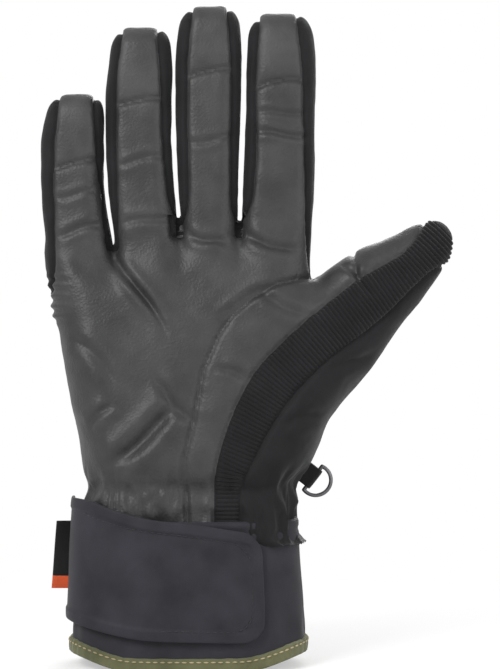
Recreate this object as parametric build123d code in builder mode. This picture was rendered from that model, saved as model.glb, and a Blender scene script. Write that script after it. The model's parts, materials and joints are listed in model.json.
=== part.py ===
"""Right-hand short-cuff ski glove, standing on its hem with the fingers up.

Units are millimetres.  +Z runs from the hem to the fingertips, +X to the thumb
side, and -Y is the palm side.  The origin is the centre of the cuff opening.
"""

from dataclasses import dataclass
from math import cos, radians, sin, tan
import os

from build123d import *

# ---------------------------------------------------------------- driving sizes
LENGTH = 280.0  # hem to middle fingertip
SHELL = 2.0  # outer fabric or leather with its backing
INSULATION = 2.2  # quilted fibre, each side of the hand
MEMBRANE = 0.5  # waterproof insert
LINING = 1.2  # brushed inner lining
FINGER_SHELL = 3.2  # finger shell with the insulation bonded to it
FINGER_LINER = 1.2
FINGER_CORNER = 8.0  # outer corner radius of a finger's section
GAP = 0.3  # free gap between pieces on different bodies

WRIST_Z = 62.0  # seam between cuff and hand
PALM_TOP_Z = 174.0  # where the four finger stalls begin
HEM_FLAT = 25.0  # half width of the hem's flat foot
HEM_EDGE = 54.0
HEM_RISE = 6.6  # hem height at HEM_EDGE
BINDING_WALL = 0.8
BINDING_HEIGHT = 5.8
FAR = 200.0  # well past the glove, for cutting tools

FINGER_BEND = 75.0  # degrees that a finger stall folds towards the palm
THUMB_BEND = 50.0
FOLD_DEPTH = 2.0  # how far in front of a finger's middle its fold line lies
FOLD_SLACK = 1.5  # degrees left between the two sides of a closed fold


@dataclass(frozen=True)
class Level:
    """One horizontal section of the hand or cuff."""

    z: float
    left: float
    right: float
    depth: float
    corner: float


CUFF_LEVELS = (
    Level(0.0, -50.0, 50.0, 62.0, 29.0),
    Level(WRIST_Z, -46.6, 46.8, 54.0, 25.0),
)
STRAP_LEVELS = (*CUFF_LEVELS, Level(76.0, -46.6, 46.8, 54.0, 25.0))
HAND_LEVELS = (
    Level(WRIST_Z, -46.6, 46.8, 54.0, 25.0),
    Level(84.0, -46.0, 46.5, 53.0, 24.0),
    Level(120.0, -52.0, 49.0, 50.0, 22.0),
    Level(150.0, -56.5, 51.5, 42.0, 18.0),
    Level(PALM_TOP_Z, -59.0, 52.6, 29.0, 11.0),
)


@dataclass(frozen=True)
class Finger:
    """A finger stall: where it stands, its length and its widths."""

    name: str
    x: float
    lean: float  # degrees from upright, positive towards the thumb
    tip: float  # distance from the palm top to the fingertip
    fold: float  # distance from the palm top to the fold line
    base_width: float
    fold_width: float
    end_width: float


FINGERS = (
    Finger("little", -45.2, -2.7, 66.9, 26.0, 26.6, 26.6, 24.4),
    Finger("ring", -17.6, -2.4, 95.2, 42.0, 26.6, 26.4, 24.6),
    Finger("middle", 9.2, 0.0, 106.0, 48.0, 25.2, 26.4, 24.8),
    Finger("index", 37.6, 1.6, 101.4, 46.0, 29.4, 29.6, 27.0),
)
STALL_DEPTH = 29.0  # finger depth at the palm
FOLD_DEPTH_ALL = 26.0  # at the fold
END_DEPTH = 22.5  # where the tip cap starts
TIP_CAP = 8.0  # height of the closed cap
TIP_PATCH = 30.0  # length of the reinforced fingertip

# ----------------------------------------------- thumb: its axis lies in the XZ plane
THUMB_ANGLE = 43.0  # degrees above level
THUMB_ORIGIN = (64.4, -2.0, 143.6)  # centre of the thumb at its crotch
THUMB_FOLD = 22.0  # along the axis from the origin
THUMB_END = 52.0
THUMB_TIP = 62.0
THUMB_FOLD_TURN = -35.0  # fold direction, turned from the palm side to the crotch
FUNNEL_X = 34.0  # where the thumb funnel leaves the hand
FUNNEL_LOW = 86.0
FUNNEL_HIGH = 161.0

# Seams seen from the palm side, as (x, z) points from the top down.
GUSSET_SEAM = [(54, 163), (34, 158.4), (14.3, 143.6), (6.1, 120.6), (-1.1, 88.4), (-3, 55)]
RIB_LEFT = [(101.5, 189), (70.2, 162.3), (34.7, 130.5), (14.3, 91.4), (8, 55)]
RIB_RIGHT = [(114, 184), (85.3, 149.9), (40.8, 112), (23.2, 80.8), (16, 55)]

# Wrist strap outline seen from the palm side; it starts at the little-finger side.
STRAP_GAP = 2.3  # strap clear of the cuff, room for the hook and loop patches
STRAP_WALL = 2.3
LOOP_WALL = 0.9
HOOK_WALL = 1.1
LABEL_WALL = 1.0
LABEL_WIDTH = 8.5
LABEL_Y = 3.2
LABEL_STANDOFF = 0.8

# Ring of the clip loop at the thumb side of the wrist.
RING_WIRE = 0.85
RING_CLEAR = 0.06
RING_HALF_WIDTH = 6.4
RING_REACH = 8.0
LOOP_ANCHOR = (47.4, 3.0, 83.5)
LOOP_TILT = 38.0  # degrees that the loop points below level
WEBBING_WIDTH = 9.6
WEBBING_WALL = 0.9
WEBBING_REACH = 7.5  # from the seam to the ring's bar


# ------------------------------------------------------------------ shared tools
def stack(levels, inset):
    """The solid through a stack of rounded sections, at an inset."""
    with BuildPart() as solid:
        for level in levels:
            width = level.right - level.left - 2 * inset
            depth = level.depth - 2 * inset
            with BuildSketch(Plane.XY.offset(level.z)):
                with Locations(((level.left + level.right) / 2, 0)):
                    RectangleRounded(width, depth, level.corner - inset)
        loft(ruled=True)
    return solid.part


def tube(levels, outer, inner):
    """The wall between two insets of a stack of rounded sections."""
    with BuildPart() as wall:
        add(stack(levels, outer))
        add(stack(levels, inner), mode=Mode.SUBTRACT)
    return wall.part


def block(low, high):
    """A box between two corners."""
    size = [b - a for a, b in zip(low, high)]
    middle = [(a + b) / 2 for a, b in zip(low, high)]
    with BuildPart() as solid:
        with Locations(tuple(middle)):
            Box(*size)
    return solid.part


FRONT = block((-FAR, -FAR, -FAR), (FAR, 0, FAR + LENGTH))


def thumb_side_of(seam):
    """Everything on the thumb side of a seam, cut straight through the palm side."""
    with BuildPart() as region:
        with BuildSketch(Plane.XZ):
            with BuildLine():
                Spline(*seam)
                Polyline(seam[-1], (FAR, seam[-1][1]), (FAR, FAR + 40), (seam[0][0], FAR + 40), seam[0])
            make_face()
        extrude(amount=FAR)
    return region.part


def seen_outline(*points, rounding=None):
    """A tool with a straight-sided outline in the XZ plane, through the palm side."""
    with BuildPart() as region:
        with BuildSketch(Plane.XZ) as sketch:
            with BuildLine():
                Polyline(*points, close=True)
            make_face()
            if rounding:
                corners = sketch.vertices().sort_by(Axis.X)[-2:]
                fillet(corners, rounding)
        extrude(amount=FAR)
    return region.part


def keep(solid, *tools):
    """The part of a solid inside every tool."""
    with BuildPart() as kept:
        add(solid)
        for tool in tools:
            add(tool, mode=Mode.INTERSECT)
    return kept.part


def cut(solid, *tools):
    """A solid less every tool."""
    with BuildPart() as left:
        add(solid)
        for tool in tools:
            add(tool, mode=Mode.SUBTRACT)
    return left.part


def joined(*solids):
    """Solids joined into one piece."""
    with BuildPart() as whole:
        for solid in solids:
            add(solid)
    return whole.part


def group(*solids):
    """Separate solids of one node."""
    return Compound(children=[s for solid in solids for s in solid.solids()])


def save(name, shape):
    """Labels a finished piece and writes its STEP file."""
    shape.label = name
    os.makedirs("parts", exist_ok=True)
    export_step(shape, f"parts/{name}.step")


# ------------------------------------------------------------------ mitred walls
def plate_section(plane, across, through, corner, wall):
    """Section of one mitred side of a stall: flat inside, rounded outside.

    The side faces -y of the plane, and is as wide as across.
    """
    half, deep = across / 2, through / 2
    inner_x, inner_y = half - wall, -(deep - wall)
    arc_x, arc_y = half - corner, -(deep - corner)
    near = corner * cos(radians(45))
    bend_x, bend_y = corner * cos(radians(67.5)), corner * sin(radians(67.5))
    with BuildSketch(plane) as section:
        with BuildLine():
            Line((-inner_x, inner_y), (inner_x, inner_y))
            Line((inner_x, inner_y), (arc_x + near, arc_y - near))
            ThreePointArc((arc_x + near, arc_y - near), (arc_x + bend_x, arc_y - bend_y), (arc_x, -deep))
            Line((arc_x, -deep), (-arc_x, -deep))
            ThreePointArc((-arc_x, -deep), (-arc_x - bend_x, arc_y - bend_y), (-arc_x - near, arc_y - near))
            Line((-arc_x - near, arc_y - near), (-inner_x, inner_y))
        make_face()
    return section.sketch


def turned(frame, degrees):
    """A plane turned about its own z."""
    x_dir = frame.x_dir * cos(radians(degrees)) + frame.y_dir * sin(radians(degrees))
    return Plane(origin=frame.origin, x_dir=x_dir, z_dir=frame.z_dir)


def plate(frame, sizes, quarter, wall, corner):
    """One of a stall's four sides; quarter 0 is the palm side, then anticlockwise.

    sizes is a list of (distance along the stall, width, depth).
    """
    sections = []
    for along, width, depth in sizes:
        across, through = (width, depth) if quarter % 2 == 0 else (depth, width)
        level = turned(frame.offset(along), 90 * quarter)
        sections.append(plate_section(level, across, through, corner, wall))
    with BuildPart() as side:
        loft(sections, ruled=True)
    return side.part


def square_core(frame, sizes, inset):
    """The closed inside of a stall, at an inset from its outside."""
    with BuildPart() as core:
        for along, width, depth in sizes:
            with BuildSketch(frame.offset(along)):
                Rectangle(width - 2 * inset, depth - 2 * inset)
        loft(ruled=True)
    return core.part


def fold_tool(frame, turn, pivot, bend, side):
    """Everything past one side (-1 below, +1 above) of a fold.

    The fold is square across the back of the stall, and a wedge in front, which
    closes as the stall bends towards the palm.
    """
    slope = tan(radians((bend + FOLD_SLACK) / 2))
    reach = 60.0
    across = turned(frame, turn)
    with BuildPart() as tool:
        with BuildSketch(Plane(origin=across.origin, x_dir=across.y_dir, z_dir=across.x_dir)):
            with BuildLine():
                Polyline(
                    (reach, side * GAP),
                    (pivot, side * GAP),
                    (-reach, side * (GAP + (reach + pivot) * slope)),
                    (-reach, -side * reach),
                    (reach, -side * reach),
                    close=True,
                )
            make_face()
        extrude(amount=FAR / 2, both=True)
    return tool.part


# ---------------------------------------------------------------------- the hand
hand_shell = tube(HAND_LEVELS, 0, SHELL)
hand_insulation = tube(HAND_LEVELS, SHELL, SHELL + INSULATION)
hand_membrane = tube(HAND_LEVELS, SHELL + INSULATION, SHELL + INSULATION + MEMBRANE)
LAYERS = SHELL + INSULATION + MEMBRANE
hand_lining = tube(HAND_LEVELS, LAYERS, LAYERS + LINING)

past_gusset = thumb_side_of(GUSSET_SEAM)
past_rib_left = thumb_side_of(RIB_LEFT)
past_rib_right = thumb_side_of(RIB_RIGHT)

# ------------------------------------------------------------ the thumb's funnel
axis_x, axis_z = cos(radians(THUMB_ANGLE)), sin(radians(THUMB_ANGLE))
THUMB_FRAME = Plane(origin=THUMB_ORIGIN, x_dir=(axis_z, 0, -axis_x), z_dir=(axis_x, 0, axis_z))
THUMB_SIZES = ((-4.0, 44.0, 40.0), (THUMB_FOLD, 37.0, 33.0), (THUMB_END, 25.0, 25.0))
THUMB_CORNER = 10.0


def thumb_size_at(along):
    """Width and depth of the thumb at a distance along its axis."""
    for (a, width_a, depth_a), (b, width_b, depth_b) in zip(THUMB_SIZES, THUMB_SIZES[1:]):
        if along <= b:
            share = (along - a) / (b - a)
            return along, width_a + share * (width_b - width_a), depth_a + share * (depth_b - depth_a)
    return (along, *THUMB_SIZES[-1][1:])


def funnel(inset):
    """The solid between the hand and the thumb's fold, at an inset."""
    height = FUNNEL_HIGH - FUNNEL_LOW - 2 * inset
    with BuildPart() as solid:
        mouth = Plane(origin=(FUNNEL_X, 0, (FUNNEL_HIGH + FUNNEL_LOW) / 2), x_dir=(0, 0, -1), z_dir=(1, 0, 0))
        with BuildSketch(mouth):
            RectangleRounded(height, 45.0 - 2 * inset, THUMB_CORNER - inset)
        along, width, depth = THUMB_SIZES[0]
        with BuildSketch(THUMB_FRAME.offset(along)):
            RectangleRounded(width - 2 * inset, depth - 2 * inset, THUMB_CORNER - inset)
        loft(ruled=True)
    return joined(solid.part, thumb_solid(inset, THUMB_SIZES[0][0], THUMB_FOLD + 1))


def thumb_solid(inset, start, stop):
    """The solid thumb between two distances along its axis, at an inset."""
    with BuildPart() as solid:
        for along, width, depth in (thumb_size_at(start), thumb_size_at(stop)):
            with BuildSketch(THUMB_FRAME.offset(along)):
                RectangleRounded(width - 2 * inset, depth - 2 * inset, THUMB_CORNER - inset)
        loft(ruled=True)
    return solid.part


thumb_fold_frame = THUMB_FRAME.offset(THUMB_FOLD)
below_thumb_fold = fold_tool(thumb_fold_frame, THUMB_FOLD_TURN, -FOLD_DEPTH, THUMB_BEND, -1)
above_thumb_fold = fold_tool(thumb_fold_frame, THUMB_FOLD_TURN, -FOLD_DEPTH, THUMB_BEND, 1)

THUMB_SHELL = SHELL
THUMB_LINER = INSULATION + LINING
thumb_opening = funnel(0)
palm_space = stack(HAND_LEVELS, LAYERS + LINING)
funnel_shell = cut(thumb_opening, funnel(THUMB_SHELL), below_thumb_fold, stack(HAND_LEVELS, SHELL))
funnel_liner = cut(funnel(THUMB_SHELL), funnel(THUMB_SHELL + THUMB_LINER), below_thumb_fold, palm_space)

# the moving end of the thumb
cap_levels = (thumb_size_at(THUMB_END), (THUMB_TIP, 13.0, 13.0))
with BuildPart() as thumb_cap:
    for along, width, depth in cap_levels:
        with BuildSketch(THUMB_FRAME.offset(along)):
            RectangleRounded(width, depth, min(THUMB_CORNER, width / 2 - 0.5))
    loft(ruled=True)
end_shell = cut(
    thumb_solid(0, THUMB_FOLD - 1, THUMB_END),
    thumb_solid(THUMB_SHELL, THUMB_FOLD - 1, THUMB_END),
    above_thumb_fold,
)
end_shell = joined(end_shell, thumb_cap.part)
end_liner = cut(
    thumb_solid(THUMB_SHELL, THUMB_FOLD - 1, THUMB_END),
    thumb_solid(THUMB_SHELL + THUMB_LINER, THUMB_FOLD - 1, THUMB_END - THUMB_LINER),
    above_thumb_fold,
)


# --------------------------------------------------------------- the four fingers
def finger_frame(finger):
    """The finger's base plane: z along the finger, y to the back of the hand."""
    lean = radians(finger.lean)
    return Plane(
        origin=(finger.x, 0, PALM_TOP_Z), x_dir=(cos(lean), 0, -sin(lean)), z_dir=(sin(lean), 0, cos(lean))
    )


def finger_sizes(finger, start, stop):
    """Sections (distance, width, depth) of a finger from start to stop."""
    levels = (
        (0.0, finger.base_width, STALL_DEPTH),
        (finger.fold, finger.fold_width, FOLD_DEPTH_ALL),
        (finger.tip - TIP_CAP, finger.end_width, END_DEPTH),
    )

    def at(along):
        (a, wa, da), (b, wb, db) = levels[:2] if along <= finger.fold else levels[1:]
        share = (along - a) / (b - a)
        return along, wa + share * (wb - wa), da + share * (db - da)

    return [at(start), at(stop)]


PALM_CAP = block((-FAR, -FAR, PALM_TOP_Z), (FAR, FAR, LENGTH + FAR))
stub_fronts, stub_backs, stub_sides, stub_liners = [], [], [], []
for finger in FINGERS:
    frame = finger_frame(finger)
    fold = frame.offset(finger.fold)
    below = fold_tool(fold, 0, -FOLD_DEPTH, FINGER_BEND, -1)
    above = fold_tool(fold, 0, -FOLD_DEPTH, FINGER_BEND, 1)
    low = finger_sizes(finger, -1.5, finger.fold)
    cap_start = finger.tip - TIP_CAP
    patch_start = finger.tip - TIP_PATCH
    high = finger_sizes(finger, finger.fold, cap_start)

    # the stub that stays with the hand
    for quarter, pile in ((0, stub_fronts), (2, stub_backs), (1, stub_sides), (3, stub_sides)):
        side = plate(frame, low, quarter, FINGER_SHELL, FINGER_CORNER)
        pile.append(cut(keep(side, PALM_CAP), below))
    sleeve = cut(square_core(frame, low, FINGER_SHELL), square_core(frame, low, FINGER_SHELL + FINGER_LINER))
    stub_liners.append(cut(keep(sleeve, PALM_CAP), below))

    # the end that bends
    front_end = finger_sizes(finger, finger.fold, max(patch_start, finger.fold + 0.5))
    patch_end = finger_sizes(finger, front_end[1][0], cap_start)
    front = cut(plate(frame, front_end, 0, FINGER_SHELL, FINGER_CORNER), above)
    back = cut(plate(frame, high, 2, FINGER_SHELL, FINGER_CORNER), above)
    sides = [cut(plate(frame, high, q, FINGER_SHELL, FINGER_CORNER), above) for q in (1, 3)]
    with BuildPart() as cap:
        for along, width, depth in (high[1], (finger.tip, finger.end_width * 0.62, END_DEPTH * 0.5)):
            with BuildSketch(frame.offset(along)):
                RectangleRounded(width, depth, min(FINGER_CORNER, depth / 2 - 0.4))
        loft(ruled=True)
    patch = joined(cut(plate(frame, patch_end, 0, FINGER_SHELL, FINGER_CORNER), above), cap.part)
    liner = cut(
        square_core(frame, high, FINGER_SHELL),
        square_core(frame, finger_sizes(finger, finger.fold, cap_start - FINGER_LINER), FINGER_SHELL + FINGER_LINER),
        above,
    )
    save(f"{finger.name}_front", front)
    save(f"{finger.name}_back", back)
    save(f"{finger.name}_fourchettes", group(*sides))
    save(f"{finger.name}_tip_patch", patch)
    save(f"{finger.name}_liner", liner)

# ------------------------------------------------------------- the hand's pieces
front_wall = cut(keep(hand_shell, FRONT), thumb_opening)
back_wall = cut(hand_shell, FRONT, thumb_opening)
funnel_front = keep(funnel_shell, FRONT)
funnel_back = cut(funnel_shell, FRONT)
end_front = keep(end_shell, FRONT)
end_back = cut(end_shell, FRONT)

save("palm_panel", joined(cut(front_wall, past_gusset), *stub_fronts))
save("back_panel", joined(back_wall, *stub_backs))
save("finger_base_fourchettes", group(*stub_sides))
save("thumb_leather", cut(keep(joined(front_wall, funnel_front), past_gusset), past_rib_left))
save("thumb_rib_panel", cut(keep(joined(front_wall, funnel_front), past_rib_left), past_rib_right))
save("thumb_back", joined(funnel_back, keep(joined(front_wall, funnel_front), past_rib_right)))
save("thumb_tip_patch", cut(end_front, past_rib_left))
save("thumb_tip_rib", cut(keep(end_front, past_rib_left), past_rib_right))
save("thumb_tip_back", joined(end_back, keep(end_front, past_rib_right)))
save("thumb_tip_liner", end_liner)
save("thumb_liner", funnel_liner)
save("palm_insulation", cut(keep(hand_insulation, FRONT), thumb_opening))
save("back_insulation", cut(hand_insulation, FRONT, thumb_opening))
save("membrane_insert", cut(hand_membrane, thumb_opening))
hand_lining_open = cut(hand_lining, thumb_opening)
save("lining", group(hand_lining_open, *stub_liners))

# the elastic lies inside the hand's lining at the wrist
ELASTIC_LOW, ELASTIC_HIGH, ELASTIC_WALL = 66.0, 76.0, 0.9
elastic_ring = tube(HAND_LEVELS, LAYERS + LINING, LAYERS + LINING + ELASTIC_WALL)
save("wrist_elastic", keep(elastic_ring, block((-FAR, -FAR, ELASTIC_LOW), (FAR, FAR, ELASTIC_HIGH))))


# ----------------------------------------------------------------------- the cuff
def above_hem(lift, top=WRIST_Z):
    """Everything from a height above the hem's curved edge up to top."""
    rise = HEM_RISE + lift
    with BuildPart() as region:
        with BuildSketch(Plane.XZ):
            with BuildLine():
                foot = Line((-HEM_FLAT, lift), (HEM_FLAT, lift))
                TangentArc(foot @ 1, (HEM_EDGE, rise), tangent=foot % 1)
                TangentArc(foot @ 0, (-HEM_EDGE, rise), tangent=(foot % 0) * -1)
                Polyline((HEM_EDGE, rise), (HEM_EDGE, top + rise), (-HEM_EDGE, top + rise), (-HEM_EDGE, rise))
            make_face()
        extrude(amount=FAR, both=True)
    return region.part


CUFF_LINING = 1.5
hem_body = above_hem(BINDING_WALL)
cuff_shell = keep(tube(CUFF_LEVELS, 0, SHELL), hem_body)
save("cuff_front", keep(cuff_shell, FRONT))
save("cuff_back", cut(cuff_shell, FRONT))
save("cuff_lining", keep(tube(CUFF_LEVELS, SHELL, SHELL + CUFF_LINING), hem_body))

inside = SHELL + CUFF_LINING
with BuildPart() as hem_binding:
    add(tube(CUFF_LEVELS, -BINDING_WALL, inside + BINDING_WALL))
    add(above_hem(0), mode=Mode.INTERSECT)
    add(above_hem(BINDING_HEIGHT), mode=Mode.SUBTRACT)
    add(keep(tube(CUFF_LEVELS, 0, inside), hem_body), mode=Mode.SUBTRACT)
save("hem_binding", hem_binding.part)

loop_area = seen_outline((-14, 20), (26, 20), (26, 50), (-14, 50))
save("loop_patch", keep(tube(STRAP_LEVELS, -LOOP_WALL, 0), FRONT, loop_area))

# ---------------------------------------------------------------------- the strap
with BuildPart() as strap_area:
    with BuildSketch(Plane.XZ) as strap_sketch:
        with BuildLine():
            Polyline(
                (-60, 21),
                (-60, 58),
                (-46.5, 60.5),
                (-42.5, 71.5),
                (-19.4, 64.2),
                (30.5, 54.5),
                (30.5, 12.4),
                (-2, 12.4),
                (-28, 14.4),
                close=True,
            )
        make_face()
        fillet(strap_sketch.vertices().sort_by(Axis.X)[-2:], 10.0)
    extrude(amount=FAR)
strap_front = block((-FAR, -FAR, 0), (FAR, -GAP, FAR))
strap_ring = tube(STRAP_LEVELS, -STRAP_GAP - STRAP_WALL, -STRAP_GAP)
save("wrist_strap", keep(strap_ring, strap_area.part, strap_front))
hook_area = seen_outline((4, 19), (26, 19), (26, 49), (4, 49))
save("hook_patch", keep(tube(STRAP_LEVELS, -STRAP_GAP, -STRAP_GAP + HOOK_WALL), FRONT, hook_area))

# ---------------------------------------------------------------------- the label
cuff_lean = (CUFF_LEVELS[1].left - CUFF_LEVELS[0].left) / WRIST_Z


def cuff_left(z):
    """The cuff's outermost x at the little-finger side."""
    return CUFF_LEVELS[0].left + cuff_lean * z


LABEL_LOW, LABEL_HIGH = 31.0, 60.0
with BuildPart() as side_label:
    with BuildSketch(Plane.XZ.offset(-LABEL_Y)):
        with BuildLine():
            root_low = cuff_left(LABEL_LOW) - LABEL_STANDOFF
            root_high = cuff_left(LABEL_HIGH) - LABEL_STANDOFF
            Polyline(
                (root_low, LABEL_LOW),
                (root_high, LABEL_HIGH),
                (root_high - LABEL_WIDTH, LABEL_HIGH),
                (root_low - LABEL_WIDTH, LABEL_LOW),
                close=True,
            )
        make_face()
    extrude(amount=LABEL_WALL / 2, both=True)
save("side_label", side_label.part)

# --------------------------------------------------------------- the clip loop
tilt = radians(LOOP_TILT)
loop_frame = Plane(origin=LOOP_ANCHOR, x_dir=(cos(tilt), 0, -sin(tilt)), z_dir=(sin(tilt), 0, cos(tilt)))
eye = RING_WIRE + RING_CLEAR
with BuildPart() as clip_webbing:
    with BuildSketch(loop_frame):
        Rectangle(WEBBING_REACH, 2 * WEBBING_WALL, align=(Align.MIN, Align.CENTER))
        with Locations((WEBBING_REACH, 0)):
            Circle(eye + WEBBING_WALL)
    extrude(amount=WEBBING_WIDTH / 2, both=True)
    with BuildSketch(loop_frame):
        with Locations((WEBBING_REACH, 0)):
            Circle(eye)
    extrude(amount=WEBBING_WIDTH, both=True, mode=Mode.SUBTRACT)
    add(stack(HAND_LEVELS, 0), mode=Mode.SUBTRACT)
    add(thumb_opening, mode=Mode.SUBTRACT)
save("clip_webbing", clip_webbing.part)

bar_middle = loop_frame.from_local_coords((WEBBING_REACH, 0, 0))
ring_plane = Plane(origin=bar_middle, x_dir=loop_frame.z_dir, z_dir=loop_frame.y_dir)
RING_SIDE = -1 if ring_plane.y_dir.X < 0 else 1
with BuildPart() as d_ring:
    corners = ((-RING_HALF_WIDTH, 0), (RING_HALF_WIDTH, 0))
    with BuildLine(ring_plane) as ring_arc:
        ThreePointArc(corners[0], (0, RING_SIDE * RING_REACH), corners[1])
    with BuildSketch(Plane(origin=ring_arc.wires()[0] @ 0, z_dir=ring_arc.wires()[0] % 0)):
        Circle(RING_WIRE)
    sweep(path=ring_arc.wires()[0])
    with BuildSketch(Plane(origin=bar_middle, z_dir=ring_plane.x_dir)):
        Circle(RING_WIRE)
    extrude(amount=RING_HALF_WIDTH, both=True)
    with Locations(*(ring_plane.from_local_coords((x, y, 0)) for x, y in corners)):
        Sphere(RING_WIRE)
save("d_ring", d_ring.part)
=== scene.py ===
"""Right-hand ski glove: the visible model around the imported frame.

The hand is one smooth implicit solid: a flat pillow with the outline of palm and
thumb, and four rounded finger stalls that melt into it.  Its surface is found on a
lattice, cut into sewn panels along seam curves, and dressed with seams, gathers and
folds.  Cuff, strap, binding, label and tape are sheets carried along paths.

Sizes in the classes are millimetres; meshes are written in metres.
"""

import json
import logging
from dataclasses import dataclass, field
from enum import Enum
from math import radians

import bpy
import numpy as np
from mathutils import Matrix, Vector


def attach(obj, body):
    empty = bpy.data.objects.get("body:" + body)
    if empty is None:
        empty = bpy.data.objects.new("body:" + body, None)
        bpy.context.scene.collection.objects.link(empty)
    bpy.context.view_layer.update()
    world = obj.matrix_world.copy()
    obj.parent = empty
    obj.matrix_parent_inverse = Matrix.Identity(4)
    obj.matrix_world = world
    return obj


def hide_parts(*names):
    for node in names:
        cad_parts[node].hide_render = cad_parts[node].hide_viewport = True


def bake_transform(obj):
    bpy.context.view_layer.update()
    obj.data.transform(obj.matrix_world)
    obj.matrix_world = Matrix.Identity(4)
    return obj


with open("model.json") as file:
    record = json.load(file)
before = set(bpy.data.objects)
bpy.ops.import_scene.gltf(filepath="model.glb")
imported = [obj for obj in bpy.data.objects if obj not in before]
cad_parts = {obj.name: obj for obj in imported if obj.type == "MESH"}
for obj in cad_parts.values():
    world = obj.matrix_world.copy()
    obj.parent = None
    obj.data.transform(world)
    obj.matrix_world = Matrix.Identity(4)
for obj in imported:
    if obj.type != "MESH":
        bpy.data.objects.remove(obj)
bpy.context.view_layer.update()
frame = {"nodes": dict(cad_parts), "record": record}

LOG = logging.getLogger("glove")
MM = 0.001
GLOVE = "glove"
Array = np.ndarray
Points2 = tuple[tuple[float, float], ...]


class Panel(Enum):
    """The sewn panels of the hand; values are the labels on the lattice faces."""

    PALM = 0
    BACK = 1
    SIDE = 2
    PATCH = 3
    THUMB_LEATHER = 4
    THUMB_TIP = 5
    RIB = 6
    THUMB_BACK = 7


# ------------------------------------------------------------------ small maths
def smoothstep(value: Array, low: float, high: float) -> Array:
    """Eased ramp: 0 below low, 1 above high, 3t^2 - 2t^3 between."""
    t = np.clip((value - low) / (high - low), 0.0, 1.0)
    return t * t * (3.0 - 2.0 * t)


def curve_at(value: Array, knots: Points2) -> Array:
    """Cubic curve through (position, height) knots, flat beyond both ends.

    Between two knots it is the Hermite cubic whose end slopes are the mean of the
    neighbouring chords.

    Args:
        value: positions to read the curve at.
        knots: the curve's points, in rising position.

    Returns:
        The curve's height at each position.
    """
    k = np.array(knots, float)
    x, y = k[:, 0], k[:, 1]
    chord = np.diff(y) / np.diff(x)
    slope = np.concatenate(([0.0], (chord[:-1] + chord[1:]) / 2, [0.0]))
    v = np.clip(value, x[0], x[-1])
    i = np.clip(np.searchsorted(x, v, side="right") - 1, 0, len(x) - 2)
    h = x[i + 1] - x[i]
    t = (v - x[i]) / h
    return (
        y[i] * (1 + 2 * t) * (1 - t) ** 2
        + y[i + 1] * t * t * (3 - 2 * t)
        + h * (slope[i] * t * (1 - t) ** 2 - slope[i + 1] * t * t * (1 - t))
    )


def smooth_min(a: Array, b: Array, blend: float) -> Array:
    """The lower of two fields, with a quadratic fillet of width blend where they meet."""
    h = np.clip(0.5 + 0.5 * (b - a) / blend, 0.0, 1.0)
    return b * (1 - h) + a * h - blend * h * (1 - h)


def value_noise(points: Array, scale: float, seed: int) -> Array:
    """Smooth random field from -1 to 1: hashed lattice values, eased between.

    Args:
        points: (N, 3) positions in mm.
        scale: lattice spacing in mm.
        seed: picks another field.

    Returns:
        One value for each point.
    """
    q = points / scale
    base = np.floor(q).astype(np.int64)
    f = q - base
    f = f * f * (3 - 2 * f)
    total = np.zeros(len(points))
    for corner in np.ndindex(2, 2, 2):
        cell = base + corner
        key = cell[:, 0] * 73856093 ^ cell[:, 1] * 19349663 ^ cell[:, 2] * 83492791 ^ seed * 2654435761
        key = (key ^ (key >> 13)) * 1274126177 & 0x7FFFFFFF
        weight = np.prod(np.where(corner, f, 1 - f), axis=1)
        total += weight * (key / 0x3FFFFFFF - 1.0)
    return total


def spline_points(points: Points2, steps: int, closed: bool) -> Array:
    """Catmull-Rom points along a run of (x, z) points, steps for each span."""
    p = np.array(points, float)
    n = len(p)
    spans = n if closed else n - 1
    index = np.arange(spans)[:, None] + np.array([-1, 0, 1, 2])
    index = index % n if closed else np.clip(index, 0, n - 1)
    a, b, c, d = (p[index[:, j]][:, None, :] for j in range(4))
    t = np.linspace(0, 1, steps, endpoint=False)[None, :, None]
    run = 0.5 * (2 * b + (c - a) * t + (2 * a - 5 * b + 4 * c - d) * t**2 + (3 * b - a - 3 * c + d) * t**3)
    run = run.reshape(-1, 2)
    return run if closed else np.vstack([run, p[-1]])


def outline_distance(x: Array, z: Array, outline: Array) -> Array:
    """Signed distance to a closed outline in the XZ plane, positive inside.

    The nearest of all edges gives the distance, and the count of edges crossed by a
    level ray gives the side.
    """
    best = np.full(np.broadcast(x, z).shape, np.inf)
    inside = np.zeros(best.shape, bool)
    for (ax, az), (bx, bz) in zip(outline, np.roll(outline, -1, axis=0)):
        dx, dz = bx - ax, bz - az
        t = np.clip(((x - ax) * dx + (z - az) * dz) / (dx * dx + dz * dz), 0, 1)
        best = np.minimum(best, (x - ax - t * dx) ** 2 + (z - az - t * dz) ** 2)
        if bz != az:
            crosses = (az > z) != (bz > z)
            inside ^= crosses & (x < (bx - ax) * (z - az) / (bz - az) + ax)
    return np.where(inside, 1.0, -1.0) * np.sqrt(best)


def along_path(points: Array, path: Array) -> tuple[Array, Array]:
    """Nearest place on an open path in the XZ plane.

    Args:
        points: (N, 3) positions.
        path: (M, 2) path points.

    Returns:
        The distance along the path and the distance from it, for each point.
    """
    best = np.full(len(points), np.inf)
    where = np.zeros(len(points))
    start = 0.0
    for a, b in zip(path, path[1:]):
        d = b - a
        length = float(np.hypot(*d))
        rel = points[:, (0, 2)] - a
        t = np.clip(rel @ d / length**2, 0, 1)
        gap = ((rel - t[:, None] * d) ** 2).sum(1)
        nearer = gap < best
        best = np.where(nearer, gap, best)
        where = np.where(nearer, start + t * length, where)
        start += length
    return where, np.sqrt(best)


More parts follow.
